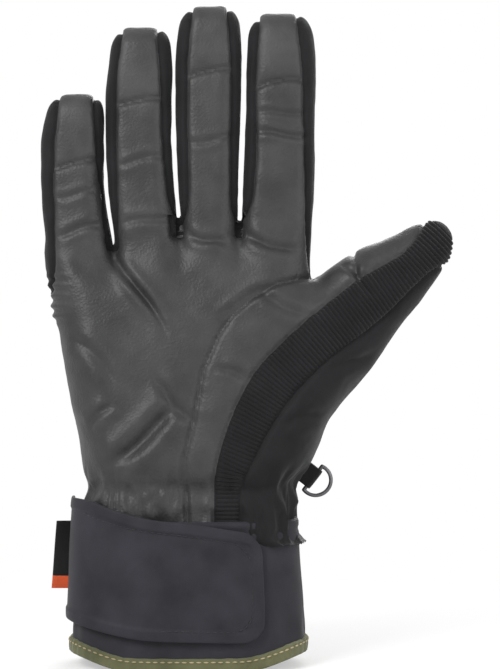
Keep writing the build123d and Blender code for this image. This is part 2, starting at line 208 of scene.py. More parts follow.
# ------------------------------------------------------------ meshes from arrays
@dataclass
class Shell:
    """A quad mesh as arrays.

    Attributes:
        points: (N, 3) positions in mm.
        faces: (M, 4) corners.
        layer: for a lattice surface, the lattice height of each face in mm.
        label: panel label of each face.
        seam: distance of each point from the nearest seam, in mm.
        normal: shading normal at each point.
    """

    points: Array
    faces: Array
    layer: Array = field(default_factory=lambda: np.zeros(0))
    label: Array = field(default_factory=lambda: np.zeros(0, int))
    seam: Array = field(default_factory=lambda: np.zeros(0))
    normal: Array = field(default_factory=lambda: np.zeros((0, 3)))

    def edges(self) -> tuple[Array, Array]:
        """The unique edges, and the two faces beside each (-1 where there is none)."""
        f = self.faces
        pairs = np.sort(np.stack([f, np.roll(f, -1, axis=1)], axis=2).reshape(-1, 2), axis=1)
        key = pairs[:, 0].astype(np.int64) * len(self.points) + pairs[:, 1]
        order = np.argsort(key, kind="stable")
        unique, first, count = np.unique(key[order], return_index=True, return_counts=True)
        owner = order // 4
        second = np.where(count > 1, owner[np.minimum(first + 1, len(owner) - 1)], -1)
        edges = np.stack([unique // len(self.points), unique % len(self.points)], axis=1)
        return edges, np.stack([owner[first], second], axis=1)

    def mean_of_neighbours(self, edges: Array) -> Array:
        """For each point, the mean of the points joined to it by the given edges."""
        n = len(self.points)
        ends = np.concatenate([edges[:, 0], edges[:, 1]])
        others = np.concatenate([edges[:, 1], edges[:, 0]])
        count = np.bincount(ends, minlength=n)
        total = np.stack([np.bincount(ends, self.points[others, i], n) for i in range(3)], axis=1)
        return np.where(count[:, None] > 0, total / np.maximum(count, 1)[:, None], self.points)

    def point_normals(self) -> Array:
        """Area-weighted normals at the points."""
        a, b, c, d = (self.points[self.faces[:, i]] for i in range(4))
        face = np.cross(c - a, d - b)
        n = len(self.points)
        flat = self.faces.reshape(-1)
        spread = np.repeat(face, 4, axis=0)
        total = np.stack([np.bincount(flat, spread[:, i], n) for i in range(3)], axis=1)
        return total / np.maximum(np.linalg.norm(total, axis=1, keepdims=True), 1e-9)

    def kept(self, chosen: Array) -> "Shell":
        """The chosen faces alone, with only their own points."""
        faces = self.faces[chosen]
        used, compact = np.unique(faces, return_inverse=True)
        part = Shell(self.points[used], compact.reshape(faces.shape))
        part.layer = self.layer[chosen] if len(self.layer) else self.layer
        part.label = self.label[chosen] if len(self.label) else self.label
        part.seam = self.seam[used] if len(self.seam) else self.seam
        part.normal = self.normal[used] if len(self.normal) else self.normal
        return part


def make_object(name: str, shell: Shell, material: bpy.types.Material, uv: Array | None = None) -> bpy.types.Object:
    """Puts a shell into the scene as a smooth-shaded object.

    Args:
        name: the piece's name.
        shell: its mesh, in mm.
        material: its finish.
        uv: optional (N, 2) coordinates at the points, in mm.

    Returns:
        The new object, at the origin, with its place in its mesh.
    """
    mesh = bpy.data.meshes.new(name)
    faces = shell.faces
    triangle = faces[:, 2] == faces[:, 3]
    corners = [tuple(f[:3]) if t else tuple(f) for f, t in zip(faces.tolist(), triangle.tolist())]
    mesh.from_pydata((shell.points * MM).tolist(), [], corners)
    mesh.polygons.foreach_set("use_smooth", np.ones(len(mesh.polygons), bool))
    if len(shell.seam):
        seam = mesh.attributes.new("seam", "FLOAT", "POINT")
        seam.data.foreach_set("value", shell.seam.astype(np.float32))
    if uv is not None:
        layer = mesh.uv_layers.new(name="UVMap")
        loops = np.zeros(len(mesh.loops), np.int32)
        mesh.loops.foreach_get("vertex_index", loops)
        layer.data.foreach_set("uv", uv[loops].astype(np.float32).reshape(-1))
    if len(shell.normal):
        mesh.normals_split_custom_set_from_vertices(shell.normal.tolist())
    mesh.materials.append(material)
    mesh.update()
    piece = bpy.data.objects.new(name, mesh)
    bpy.context.collection.objects.link(piece)
    return piece


def sheet_grid(across: Array, closed_u: bool = False, closed_v: bool = False) -> Shell:
    """A shell from a (U, V, 3) grid of points, joined round where it is closed."""
    nu, nv = across.shape[:2]
    index = np.arange(nu * nv).reshape(nu, nv)
    if closed_u:
        index = np.vstack([index, index[:1]])
    if closed_v:
        index = np.hstack([index, index[:, :1]])
    quads = np.stack([index[:-1, :-1], index[1:, :-1], index[1:, 1:], index[:-1, 1:]], axis=-1)
    return Shell(across.reshape(-1, 3), quads.reshape(-1, 4))


def merged(shells: list[Shell]) -> Shell:
    """Several shells as one mesh, unjoined."""
    offsets = np.cumsum([0] + [len(s.points) for s in shells[:-1]])
    return Shell(
        np.vstack([s.points for s in shells]),
        np.vstack([s.faces + o for s, o in zip(shells, offsets)]),
    )


def stitch_row(path: Array, outward: Array, length: float, pitch: float, radius: float) -> Shell:
    """A row of short threads laid along a path.

    Each thread is a spindle: rings of six points whose radius follows a half sine.

    Args:
        path: (N, 3) points along the seam, in mm.
        outward: (N, 3) surface normals there.
        length: length of one thread.
        pitch: distance from one thread to the next.
        radius: half the thread's thickness.

    Returns:
        All threads as one shell.
    """
    step = np.linalg.norm(np.diff(path, axis=0), axis=1)
    run = np.concatenate([[0], np.cumsum(step)])
    centres = np.arange(pitch / 2, run[-1], pitch)
    along = np.linspace(-0.5, 0.5, 5) * length
    spots = np.clip(centres[:, None] + along, 0, run[-1])
    line = np.stack([np.interp(spots, run, path[:, i]) for i in range(3)], axis=-1)
    up = np.stack([np.interp(spots, run, outward[:, i]) for i in range(3)], axis=-1)
    heading = line[:, -1:] - line[:, :1]
    heading = heading / np.maximum(np.linalg.norm(heading, axis=-1, keepdims=True), 1e-9)
    side = np.cross(heading, up)
    angle = np.linspace(0, 2 * np.pi, 6, endpoint=False)
    swell = radius * np.array([0.15, 0.85, 1.0, 0.85, 0.15])
    ring = (
        np.cos(angle)[:, None] * up[:, :, None, :] + np.sin(angle)[:, None] * side[:, :, None, :]
    ) * swell[:, None, None]
    points = line[:, :, None, :] + ring
    one = sheet_grid(np.zeros((5, 6, 3)), closed_v=True).faces
    count = len(centres)
    faces = (one[None] + (np.arange(count) * 30)[:, None, None]).reshape(-1, 4)
    return Shell(points.reshape(-1, 3), faces[:, ::-1])


# ---------------------------------------------------------------- lattice surface
def surface_net(values: Array, origin: Array, step: float) -> Shell:
    """The zero surface of a field on a lattice, as quads.

    Each lattice cell that the surface crosses gets one point, the mean of its edge
    crossings, and each crossed lattice edge gets one quad joining the four cells
    around it, turned so that it faces the positive side.

    Args:
        values: field at the lattice points, negative inside.
        origin: place of the first lattice point, in mm.
        step: lattice spacing in mm.

    Returns:
        The surface, with each face's lattice height in layer.
    """
    inside = values < 0
    cells = tuple(n - 1 for n in values.shape)
    count = np.zeros(cells, np.int8)
    total = np.zeros((*cells, 3), np.float32)
    for axis in range(3):
        low = [slice(None)] * 3
        high = [slice(None)] * 3
        low[axis], high[axis] = slice(0, -1), slice(1, None)
        a, b = values[tuple(low)], values[tuple(high)]
        crossed = inside[tuple(low)] != inside[tuple(high)]
        t = np.where(crossed, a / np.where(crossed, a - b, 1.0), 0.0)
        others = [i for i in range(3) if i != axis]
        for shift in np.ndindex(2, 2):
            window = [slice(None)] * 3
            for o, s in zip(others, shift):
                window[o] = slice(s, s + cells[o])
            hit = crossed[tuple(window)]
            count += hit
            total[..., axis] += t[tuple(window)] * hit
            for o, s in zip(others, shift):
                total[..., o] += s * hit
    active = count > 0
    number = np.full(cells, -1)
    number[active] = np.arange(active.sum())
    place = np.argwhere(active) + total[active] / count[active][:, None]
    faces, layers = [], []
    for axis in range(3):
        low = [slice(None)] * 3
        high = [slice(None)] * 3
        low[axis], high[axis] = slice(0, -1), slice(1, None)
        crossed = inside[tuple(low)] != inside[tuple(high)]
        spots = np.argwhere(crossed)
        u, v = (axis + 1) % 3, (axis + 2) % 3
        ok = (spots[:, u] > 0) & (spots[:, v] > 0) & (spots[:, u] < cells[u]) & (spots[:, v] < cells[v])
        spots = spots[ok]
        ring = []
        for du, dv in ((-1, -1), (0, -1), (0, 0), (-1, 0)):
            cell = spots.copy()
            cell[:, u] += du
            cell[:, v] += dv
            ring.append(number[tuple(cell.T)])
        quad = np.stack(ring, axis=1)
        outward = inside[tuple(spots.T)]
        quad[~outward] = quad[~outward][:, ::-1]
        faces.append(quad)
        layers.append(origin[2] + step * (spots[:, 2] + (0.5 if axis == 2 else 0.0)))
    return Shell(origin + step * place, np.vstack(faces), np.concatenate(layers))


@dataclass(frozen=True)
class Stall:
    """A finger stall's shape by height, and its seam lines on the palm side."""

    name: str
    tip: float
    middle: Points2
    half_width: Points2
    left_seam: Points2
    right_seam: Points2
    patch_seam: Points2
    depth: float = 12.6
    corner: float = 8.5
    tip_blend: float = 9.0

    def distance(self, x: Array, y: Array, z: Array) -> Array:
        """Field of the stall: a rounded rectangle at each height, closed at the tip.

        Width and depth follow curves of height, both ease in over the last 25 mm,
        and the tip is a level cap joined with a rounding of tip_blend.
        """
        below = self.tip - z
        taper = curve_at(below, ((-3.0, 5.5), (2.0, 8.4), (8.0, 10.6), (20.0, 12.0), (34.0, self.depth), (100.0, 14.0)))
        half = curve_at(z, self.half_width)
        corner = np.minimum(self.corner, taper - 0.3)
        lean = 1.6 * smoothstep(z, self.tip - 45, self.tip + 5)
        qx = np.abs(x - curve_at(z, self.middle)) - (half - corner)
        qy = np.abs(y + lean) - (taper - corner)
        ring = np.hypot(np.maximum(qx, 0), np.maximum(qy, 0)) + np.minimum(np.maximum(qx, qy), 0) - corner
        return -smooth_min(-ring, self.tip - z, self.tip_blend)


def tip_profile(tip: float, base: float, wide: float, end: float, foot: float = 176.0) -> Points2:
    """Half width by height: base at the foot, wide near the top, end at the tip."""
    return ((foot - 30, base - 1.5), (foot, base), (tip - 32, wide), (tip - 19, wide), (tip - 9, wide - 0.9), (tip, end))


STALLS = (
    Stall(
        "little",
        244.2,
        ((150, -43.5), (178, -46.6), (200, -49.4), (222, -49.6), (242, -47.9)),
        tip_profile(242.4, 14.0, 13.3, 11.6),
        ((150, -60.0), (165, -58.0), (177, -57.6), (210, -57.6), (242, -56.0)),
        ((172, -31.8), (177, -31.8), (184, -34.2), (200, -36.0), (225, -38.3), (242, -39.4)),
        ((-64, 209.0), (-57.6, 210.4), (-48, 213.5), (-37.2, 214.5)),
    ),
    Stall(
        "ring",
        272.6,
        ((150, -17.0), (180, -17.6), (205, -20.4), (240, -21.4), (256, -20.6), (271, -19.9)),
        tip_profile(270.7, 13.9, 14.2, 12.2),
        ((172, -31.8), (177, -31.8), (184, -31.2), (215, -31.6), (250, -31.3), (270, -29.5)),
        ((183, -3.6), (188, -3.6), (194, -5.9), (215, -9.0), (250, -10.8), (270, -12.4)),
        ((-36, 237.0), (-31.3, 237.7), (-20, 240.2), (-9.7, 240.3)),
    ),
    Stall(
        "middle",
        281.8,
        ((150, 9.0), (188, 8.8), (215, 8.2), (262, 8.3), (280, 8.9)),
        tip_profile(280.0, 12.6, 14.1, 11.9, 188.0),
        ((183, -3.6), (188, -3.6), (194, -1.6), (215, -1.0), (250, -1.4), (280, 0.5)),
        ((184, 21.2), (189, 21.2), (195, 19.8), (215, 19.2), (250, 19.6), (280, 17.5)),
        ((-5, 248.6), (-1.4, 249.6), (9, 252.6), (20.3, 253.4)),
    ),
    Stall(
        "index",
        278.4,
        ((150, 36.0), (180, 37.0), (210, 38.4), (250, 39.6), (276, 39.4)),
        tip_profile(276.6, 15.2, 14.7, 12.3, 180.0),
        ((184, 21.2), (189, 21.2), (195, 24.8), (206, 27.2), (250, 27.5), (276, 29.0)),
        ((164, 52.4), (175, 51.6), (200, 51.0), (230, 50.0), (250, 49.2), (276, 46.8)),
        ((24, 244.2), (27.0, 245.0), (38, 248.2), (50.8, 248.3)),
    ),
)
CUT_HEIGHT = 191.0  # off every lattice level; the stalls' own meshes start here, clear of every web
GUSSET = ((50, -0.5), (77, -1.0), (85, -1.7), (98.6, 1.1), (111.8, 4.2), (124.4, 6.3), (134, 10.0), (143, 14.4),
          (150.6, 20.7), (158, 30.5), (163, 41.0), (165, 52.0))  # fmt: skip
RIB_INNER = ((50, 11.0), (79, 11.4), (94, 14.4), (116.3, 23.3), (129.7, 32.0), (146.6, 50.0), (163.5, 70.5),
             (176, 91.0), (187.5, 99.0), (192, 101.0))  # fmt: skip
RIB_OUTER = ((50, 22.5), (79, 23.3), (85, 26.0), (96.9, 32.0), (113.8, 43.0), (129.7, 58.8), (147.6, 83.8),
             (160.7, 97.3), (168, 107.0), (172, 118.0))  # fmt: skip
BACK_GUSSET = ((50, 24.0), (79, 25.0), (100, 24.0), (125, 27.0), (145, 37.0), (158, 46.0), (165, 53.0))
RIB_MIDDLE = ((16.5, 50), (16.5, 79), (20, 90), (27.5, 106), (38, 121.8), (55, 138.2), (77, 155.3), (94, 168), (110, 184))


@dataclass(frozen=True)
class Fold:
    """A pressed fold on the palm side, from start to end as (x, z)."""

    start: tuple[float, float]
    end: tuple[float, float]
    depth: float
    width: float
    lip: float = 0.6

    def press(self, points: Array) -> Array:
        """Inward dip across the fold, with a raised lip below it, fading at both ends."""
        a, b = np.array(self.start), np.array(self.end)
        d = b - a
        length = float(np.hypot(*d))
        rel = points[:, (0, 2)] - a
        t = rel @ d / length**2
        off = (rel[:, 1] * d[0] - rel[:, 0] * d[1]) / length
        off = off + 0.9 * np.sin(t * 5.0 + self.start[0])
        ends = smoothstep(t, -0.12, 0.22) * (1 - smoothstep(t, 0.78, 1.12))
        dip = -self.depth * np.exp(-((off / self.width) ** 2))
        lip = self.lip * self.depth * np.exp(-(((np.abs(off) - 2.4 * self.width) / (1.6 * self.width)) ** 2))
        return (dip + lip) * ends * smoothstep(-points[:, 1], 1.0, 6.0)


FOLDS = (
    Fold((-31, 174), (-14, 150), 1.5, 1.5),
    Fold((-24, 166), (-9, 141), 1.0, 1.3),
    Fold((-5, 109), (-31, 87), 2.2, 2.6, 0.8),
    Fold((-33, 112), (-41, 102), 1.2, 1.5),
    Fold((-14, 122), (2, 104), 1.1, 1.8),
    Fold((-48, 140), (-30, 122), 0.9, 2.0),
    Fold((14, 150), (36, 162), 0.9, 1.2),
    Fold((0, 183), (16, 179), 1.1, 1.4),
    Fold((24, 182), (46, 176), 1.2, 1.6),
    Fold((-28, 187), (-8, 191), 0.9, 1.3),
    Fold((-55, 183), (-36, 187), 0.9, 1.3),
    Fold((29, 234), (50, 235), 0.8, 1.0),
    Fold((29, 226), (51, 225), 1.1, 1.1),
    Fold((0, 222), (19, 224), 0.7, 1.1),
    Fold((-30, 213), (-10, 216), 0.7, 1.1),
    Fold((-56, 199), (-39, 201), 0.6, 1.1),
    Fold((66, 170), (78, 158), 1.0, 1.3),
    Fold((30, 158), (50, 149), 1.0, 1.8),
    Fold((14, 128), (24, 122), 0.8, 1.4),
    Fold((60, 125), (78, 133), 0.9, 1.8),
    Fold((40, 103), (56, 108), 1.1, 2.0),
)


@dataclass
class Hand:
    """The hand's implicit solid and its sewn panels."""

    lattice: float = 0.9
    pillow_rim: float = 17.0
    web_blend: float = 7.0
    outline: Points2 = (
        (-46.2, 44), (-46.2, 58), (-45.6, 70), (-46.2, 84), (-48.4, 100), (-52.4, 119), (-55.2, 137),
        (-58.4, 155), (-60.2, 168), (-59.0, 177), (-48, 181), (-40, 176), (-32, 172), (-24, 179),
        (-14, 184), (-3.6, 182), (9, 188), (21, 183), (34, 184), (46, 176), (51.5, 166.5), (55.5, 166.0),
        (62, 170.5), (72, 176.8), (88, 183.8), (97, 188.3), (103.5, 190.0), (109.5, 188.3), (113.6, 182.4),
        (112.6, 173), (107, 164.2), (99.4, 154.7), (91.4, 144.6), (83.8, 134.4), (76.1, 124.2), (67.7, 114.0),
        (60.6, 104.6), (56.4, 94.5), (53.2, 87.5), (49.6, 80.5), (47.2, 72), (46.8, 58), (46.8, 44),
    )  # fmt: skip

    def __post_init__(self) -> None:
        """Works out the smooth outline once."""
        self.edge = spline_points(self.outline, 4, closed=True)

    def pillow(self, x: Array, y: Array, z: Array) -> Array:
        """Field of palm and thumb: an elliptical rim round the outline, flat inside.

        With e the distance in from the outline over the rim's width, and h the half
        depth, the field is h (sqrt((y/h)^2 + (1 - e)^2) - 1).
        """
        palm = curve_at(z, ((44, 26.5), (66, 24.5), (84, 25.5), (120, 24.5), (150, 21.0), (176, 15.4), (192, 13.0)))
        s = (x - 64.4) * 0.731 + (z - 143.6) * 0.682
        thumb = curve_at(s, ((-40, 23.0), (-10, 20.5), (22, 16.5), (45, 13.4), (62, 10.0)))
        share = smoothstep(x, 36.0, 62.0) * smoothstep(s, -28.0, 0.0)
        half = palm * (1 - share) + thumb * share
        rim = self.pillow_rim * (1 - share) + (thumb + 0.5) * share
        inward = outline_distance(x, z, self.edge) / rim
        # nothing is deeper than the rim, and the outside keeps growing
        return half * (np.sqrt((y / half) ** 2 + np.maximum(1 - inward, 0) ** 2) - 1)

    def stall_field(self, stall: Stall, body: Array, x: Array, y: Array, z: Array) -> Array:
        """One stall melted into the palm."""
        reach = smoothstep(z, 120.0, 150.0)
        return smooth_min(body, stall.distance(x, y, z) + 40 * (1 - reach), self.web_blend)

    def field(self, x: Array, y: Array, z: Array, stalls: tuple[Stall, ...]) -> Array:
        """The solid's field: the least of the stalls, each melted into the palm."""
        body = self.pillow(x, y, z)
        total = None
        for stall in stalls:
            one = self.stall_field(stall, body, x, y, z)
            total = one if total is None else np.minimum(total, one)
        return total

    def surface(self, low: Array, high: Array, stalls: tuple[Stall, ...], inset: float = 0.0, step: float = 0.0) -> Shell:
        """The smooth surface of the solid inside a box.

        Args:
            low: lowest corner in mm; it's moved onto the shared lattice.
            high: highest corner.
            stalls: the stalls that count there.
            inset: how far inside the solid the surface lies.
            step: lattice spacing, or 0 for the usual one.

        Returns:
            The surface, pulled onto the field's zero and evened out.
        """
        step = step or self.lattice
        first = np.floor(np.array(low) / step)
        size = (np.ceil(np.array(high) / step) - first).astype(int)
        axes = [(first[i] + np.arange(size[i])) * step for i in range(3)]
        x, y, z = axes[0][:, None, None], axes[1][None, :, None], axes[2][None, None, :]
        shell = surface_net(self.field(x, y, z, stalls) + inset, first * step, step)
        edges, _ = shell.edges()
        for _ in range(2):
            evened = shell.mean_of_neighbours(edges)
            shell.points = self.on_surface(shell.points * 0.5 + evened * 0.5, stalls, inset)
        return shell

    def on_surface(self, points: Array, stalls: tuple[Stall, ...], inset: float) -> Array:
        """Newton's step onto the surface: back along the gradient by value over slope."""
        small = 0.2
        value = self.field(*points.T, stalls) + inset
        slope = np.stack(
            [(self.field(*(points + small * unit).T, stalls) + inset - value) / small for unit in np.eye(3)], axis=1
        )
        square = np.maximum((slope**2).sum(1, keepdims=True), 0.05)
        return points - np.clip(value[:, None] / square, -1.0, 1.0) * slope


def between(value: Array, low: Array, high: Array) -> Array:
    """True where value lies between low and high."""
    return (value > low) & (value < high)


def hand_labels(c: Array) -> Array:
    """Panel of each face below the stalls, from its centre."""
    x, y, z = c.T
    little, ring, middle, index = STALLS
    label = np.full(len(c), Panel.PALM.value)
    back_seam = curve_at(z, ((140, -1.5), (165, 3.0), (180, 7.5)))
    label[y > np.where(x < 40, back_seam, curve_at(z, ((150, 0.0), (168, 6.0), (176, 7.5))))] = Panel.BACK.value
    side = (y > -13) & (y < 7.5)
    for left, right in ((little, ring), (ring, middle), (middle, index)):
        web = left.right_seam[1][0]
        gap = between(x, curve_at(z, left.right_seam), curve_at(z, right.left_seam)) & (z > web)
        label[gap & (y < 7.5)] = Panel.SIDE.value
        deep = (z > web) & (np.abs(x - left.right_seam[1][1]) < 4.0 + (z - web)) & side & (y > -9)
        label[deep] = Panel.SIDE.value
    outer = (z > 150) & (x < curve_at(z, little.left_seam)) & (y < back_seam)
    label[outer] = Panel.SIDE.value
    index_side = (z > 166) & (x > curve_at(z, index.right_seam)) & (y < 7.5) & (x < 54)
    label[index_side] = Panel.SIDE.value
    on_thumb = (x > curve_at(z, GUSSET)) & ((z < 165) | (x > 53.5)) & (y < curve_at(x, ((30, -1.0), (60, 4.0), (100, 4.0))))
    label[on_thumb] = Panel.THUMB_LEATHER.value
    label[on_thumb & (x > 71.5 - 0.12 * (z - 164))] = Panel.THUMB_TIP.value
    label[on_thumb & (x > curve_at(z, RIB_INNER))] = Panel.RIB.value
    label[on_thumb & (x > curve_at(z, RIB_OUTER))] = Panel.THUMB_BACK.value
    back_thumb = (x > curve_at(z, BACK_GUSSET)) & ((z < 165) | (x > 53.5)) & ~on_thumb
    label[back_thumb] = Panel.THUMB_BACK.value
    return label


def stall_labels(c: Array, stall: Stall) -> Array:
    """Panel of each face of a stall, from its centre."""
    x, y, z = c.T
    top = ((stall.tip - 14, 7.5), (stall.tip - 4, 1.5))
    front_limit = curve_at(z, ((stall.tip - 12, 0.0), (stall.tip - 4, 1.5)))
    label = np.where(y > curve_at(z, top), Panel.BACK.value, Panel.SIDE.value)
    leather = between(x, curve_at(z, stall.left_seam), curve_at(z, stall.right_seam)) & (y < front_limit)
    label[leather] = Panel.PALM.value
    label[leather & (z > curve_at(x, stall.patch_seam))] = Panel.PATCH.value
    return label


def sew(shell: Shell) -> Shell:
    """Smooths the seam lines between panels, and measures each point's distance from them.

    Points on a seam move to the mean of their two neighbours along it, eight times
    over.  Distances then spread from the seams along the mesh's edges.
    """
    edges, beside = shell.edges()
    label = shell.label
    seam = edges[(beside[:, 1] >= 0) & (label[beside[:, 0]] != label[beside[:, 1]])]
    count = np.bincount(seam.reshape(-1), minlength=len(shell.points))
    through = count == 2
    for _ in range(8):
        mean = shell.mean_of_neighbours(seam)
        shell.points[through] = 0.5 * shell.points[through] + 0.5 * mean[through]
    near = count > 0
    for _ in range(3):
        mean = shell.mean_of_neighbours(edges)
        shell.points[~near] = 0.6 * shell.points[~near] + 0.4 * mean[~near]
    length = np.linalg.norm(shell.points[edges[:, 0]] - shell.points[edges[:, 1]], axis=1)
    distance = np.where(near, 0.0, 99.0)
    for _ in range(16):
        for a, b in ((0, 1), (1, 0)):
            np.minimum.at(distance, edges[:, a], distance[edges[:, b]] + length)
    shell.seam = distance
    return shell


def dress(shell: Shell) -> Shell:
    """Moves the surface in and out: seams, padding, gathers at the wrist, and folds."""
    p, normal = shell.points, shell.point_normals()
    x, y, z = p.T
    move = -1.15 * np.exp(-((shell.seam / 1.25) ** 2)) - 0.9 * np.exp(-shell.seam / 4.0)
    move += 0.55 * value_noise(p, 21.0, 3) + 0.28 * value_noise(p, 9.0, 5) + 0.1 * value_noise(p, 3.6, 8)
    gather = (1 - smoothstep(z, 74.0, 90.0)) * smoothstep(z, 48.0, 57.0)
    stretched = p * np.array([1.0, 0.9, 0.30])
    crumple = 1 - np.abs(value_noise(stretched, 6.0, 11)) * 2.2
    fine = 1 - np.abs(value_noise(stretched, 3.1, 12)) * 2.2
    level = value_noise(p * np.array([0.5, 0.5, 1.4]), 6.5, 13)
    move += gather * (1.35 * crumple + 0.6 * fine + 0.7 * level - 1.6)
    move -= 1.7 * np.exp(-(((z - 75.5) / 4.2) ** 2))
    for fold in FOLDS:
        move += fold.press(p)
    left_edge = np.exp(-(((x + 57) / 5.0) ** 2)) * smoothstep(z, 143.0, 150.0) * (1 - smoothstep(z, 163.0, 169.0))
    move += 0.7 * left_edge * np.sin(z * 1.45)
    shell.points = p + move[:, None] * normal
    shell.normal = shell.point_normals()
    return shell


# ------------------------------------------------------------------- finishes
def noise_group() -> bpy.types.ShaderNodeTree:
    """A group that gives cloth and leather their relief and unevenness.

    Returns:
        The group: Scale, Weave and Depth in; Tone, Rough and Normal out.
    """
    group = bpy.data.node_groups.new("surface_grain", "ShaderNodeTree")
    for name, value in (("Scale", 900.0), ("Weave", 0.0), ("Depth", 0.3)):
        socket = group.interface.new_socket(name, in_out="INPUT", socket_type="NodeSocketFloat")
        socket.default_value = value
    for name, kind in (("Tone", "NodeSocketFloat"), ("Rough", "NodeSocketFloat"), ("Normal", "NodeSocketVector")):
        group.interface.new_socket(name, in_out="OUTPUT", socket_type=kind)
    nodes, links = group.nodes, group.links
    inputs, outputs = nodes.new("NodeGroupInput"), nodes.new("NodeGroupOutput")
    where = nodes.new("ShaderNodeTexCoord")
    pebble = nodes.new("ShaderNodeTexVoronoi")
    pebble.feature = "SMOOTH_F1"
    patchy = nodes.new("ShaderNodeTexNoise")
    patchy.inputs["Scale"].default_value = 70.0
    patchy.inputs["Detail"].default_value = 5.0
    weave = nodes.new("ShaderNodeTexWave")
    weave.bands_direction = "DIAGONAL"
    weave.inputs["Distortion"].default_value = 0.6
    mix = nodes.new("ShaderNodeMix")
    bump = nodes.new("ShaderNodeBump")
    bump.inputs["Distance"].default_value = 0.0004
    tone = nodes.new("ShaderNodeMapRange")
    tone.inputs["From Min"].default_value, tone.inputs["From Max"].default_value = 0.3, 0.7
    tone.inputs["To Min"].default_value, tone.inputs["To Max"].default_value = 0.75, 1.3
    rough = nodes.new("ShaderNodeMapRange")
    rough.inputs["To Min"].default_value, rough.inputs["To Max"].default_value = -0.08, 0.08
    for texture in (pebble, patchy, weave):
        links.new(where.outputs["Object"], texture.inputs["Vector"])
    links.new(inputs.outputs["Scale"], pebble.inputs["Scale"])
    links.new(inputs.outputs["Scale"], weave.inputs["Scale"])
    links.new(inputs.outputs["Weave"], mix.inputs["Factor"])
    links.new(pebble.outputs["Distance"], mix.inputs["A"])
    links.new(weave.outputs["Fac"], mix.inputs["B"])
    links.new(mix.outputs["Result"], bump.inputs["Height"])
    links.new(inputs.outputs["Depth"], bump.inputs["Strength"])
    links.new(patchy.outputs["Fac"], tone.inputs["Value"])
    links.new(patchy.outputs["Fac"], rough.inputs["Value"])
    links.new(tone.outputs["Result"], outputs.inputs["Tone"])
    links.new(rough.outputs["Result"], outputs.inputs["Rough"])
    links.new(bump.outputs["Normal"], outputs.inputs["Normal"])
    return group


@dataclass(frozen=True)
class Finish:
    """A cloth, leather or metal finish.

    Attributes:
        name: material name.
        colour: base colour, linear.
        roughness: mean roughness.
        scale: size of the grain, as repeats for a metre.
        weave: 0 for pebbled leather, 1 for woven threads.
        depth: strength of the relief.
        sheen: soft light at the edges of cloth.
        metallic: 1 for metal.
        shine: specular level of cloth and leather.
    """

    name: str
    colour: tuple[float, float, float]
    roughness: float = 0.6
    scale: float = 900.0
    weave: float = 0.0
    depth: float = 0.3
    sheen: float = 0.0
    metallic: float = 0.0
    shine: float = 0.14

    def material(self, grain: bpy.types.ShaderNodeTree) -> bpy.types.Material:
        """Builds the material around the shared grain group."""
        made = bpy.data.materials.new(self.name)
        made.use_nodes = True
        nodes, links = made.node_tree.nodes, made.node_tree.links
        shader = nodes["Principled BSDF"]
        shader.inputs["Sheen Weight"].default_value = self.sheen
        shader.inputs["Sheen Roughness"].default_value = 0.45
        shader.inputs["Metallic"].default_value = self.metallic
        shader.inputs["Specular IOR Level"].default_value = 0.5 if self.metallic else self.shine
        relief = nodes.new("ShaderNodeGroup")
        relief.node_tree = grain
        for socket, value in (("Scale", self.scale), ("Weave", self.weave), ("Depth", self.depth)):
            relief.inputs[socket].default_value = value
        tint = nodes.new("ShaderNodeMix")
        tint.data_type = "RGBA"
        tint.blend_type = "MULTIPLY"
        tint.inputs["Factor"].default_value = 1.0
        tint.inputs["A"].default_value = (*self.colour, 1.0)
        rough = nodes.new("ShaderNodeMath")
        rough.operation = "ADD"
        rough.inputs[1].default_value = self.roughness
        links.new(relief.outputs["Tone"], tint.inputs["B"])
        links.new(relief.outputs["Rough"], rough.inputs[0])
        links.new(tint.outputs["Result"], shader.inputs["Base Color"])
        links.new(rough.outputs["Value"], shader.inputs["Roughness"])
        links.new(relief.outputs["Normal"], shader.inputs["Normal"])
        return made


FINISHES = (
    Finish("leather_palm", (0.030, 0.030, 0.031), 0.46, 1100, 0.0, 0.35, shine=0.3),
    Finish("leather_patch", (0.038, 0.038, 0.039), 0.5, 1100, 0.0, 0.35, shine=0.3),
    Finish("shell_nylon", (0.009, 0.009, 0.010), 0.62, 900, 1.0, 0.25, 0.08),
    Finish("fourchette_knit", (0.011, 0.011, 0.012), 0.75, 1300, 1.0, 0.3, 0.08),
    Finish("rib_knit", (0.010, 0.010, 0.011), 0.8, 1300, 1.0, 0.25, 0.1),
    Finish("softshell", (0.025, 0.025, 0.030), 0.68, 1500, 1.0, 0.12, 0.05),
    Finish("binding", (0.115, 0.118, 0.060), 0.75, 1000, 1.0, 0.4, 0.2),
    Finish("strap", (0.022, 0.0215, 0.027), 0.6, 1500, 1.0, 0.12, 0.05),
    Finish("hook", (0.010, 0.010, 0.011), 0.7, 900, 1.0, 0.7),
    Finish("loop", (0.012, 0.012, 0.013), 0.9, 900, 0.0, 0.7, 0.4),
    Finish("label", (0.006, 0.006, 0.006), 0.7, 1500, 1.0, 0.25, 0.1),
    Finish("label_end", (0.48, 0.075, 0.025), 0.7, 1500, 1.0, 0.25, 0.1),
    Finish("webbing", (0.012, 0.012, 0.013), 0.75, 900, 1.0, 0.5, 0.2),
    Finish("thread", (0.030, 0.030, 0.032), 0.7, 2500, 1.0, 0.2, 0.1),
    Finish("pale_thread", (0.40, 0.33, 0.20), 0.7, 2500, 1.0, 0.2, 0.1),
    Finish("metal", (0.10, 0.10, 0.105), 0.3, 600, 0.0, 0.03, 0.0, 1.0),
    Finish("insulation", (0.75, 0.75, 0.74), 0.9, 600, 0.0, 0.5),
    Finish("membrane", (0.60, 0.61, 0.63), 0.4, 600, 0.0, 0.1),
    Finish("lining", (0.020, 0.021, 0.023), 0.9, 900, 0.0, 0.5, 0.4),
    Finish("elastic", (0.55, 0.55, 0.54), 0.7, 900, 1.0, 0.4),
)


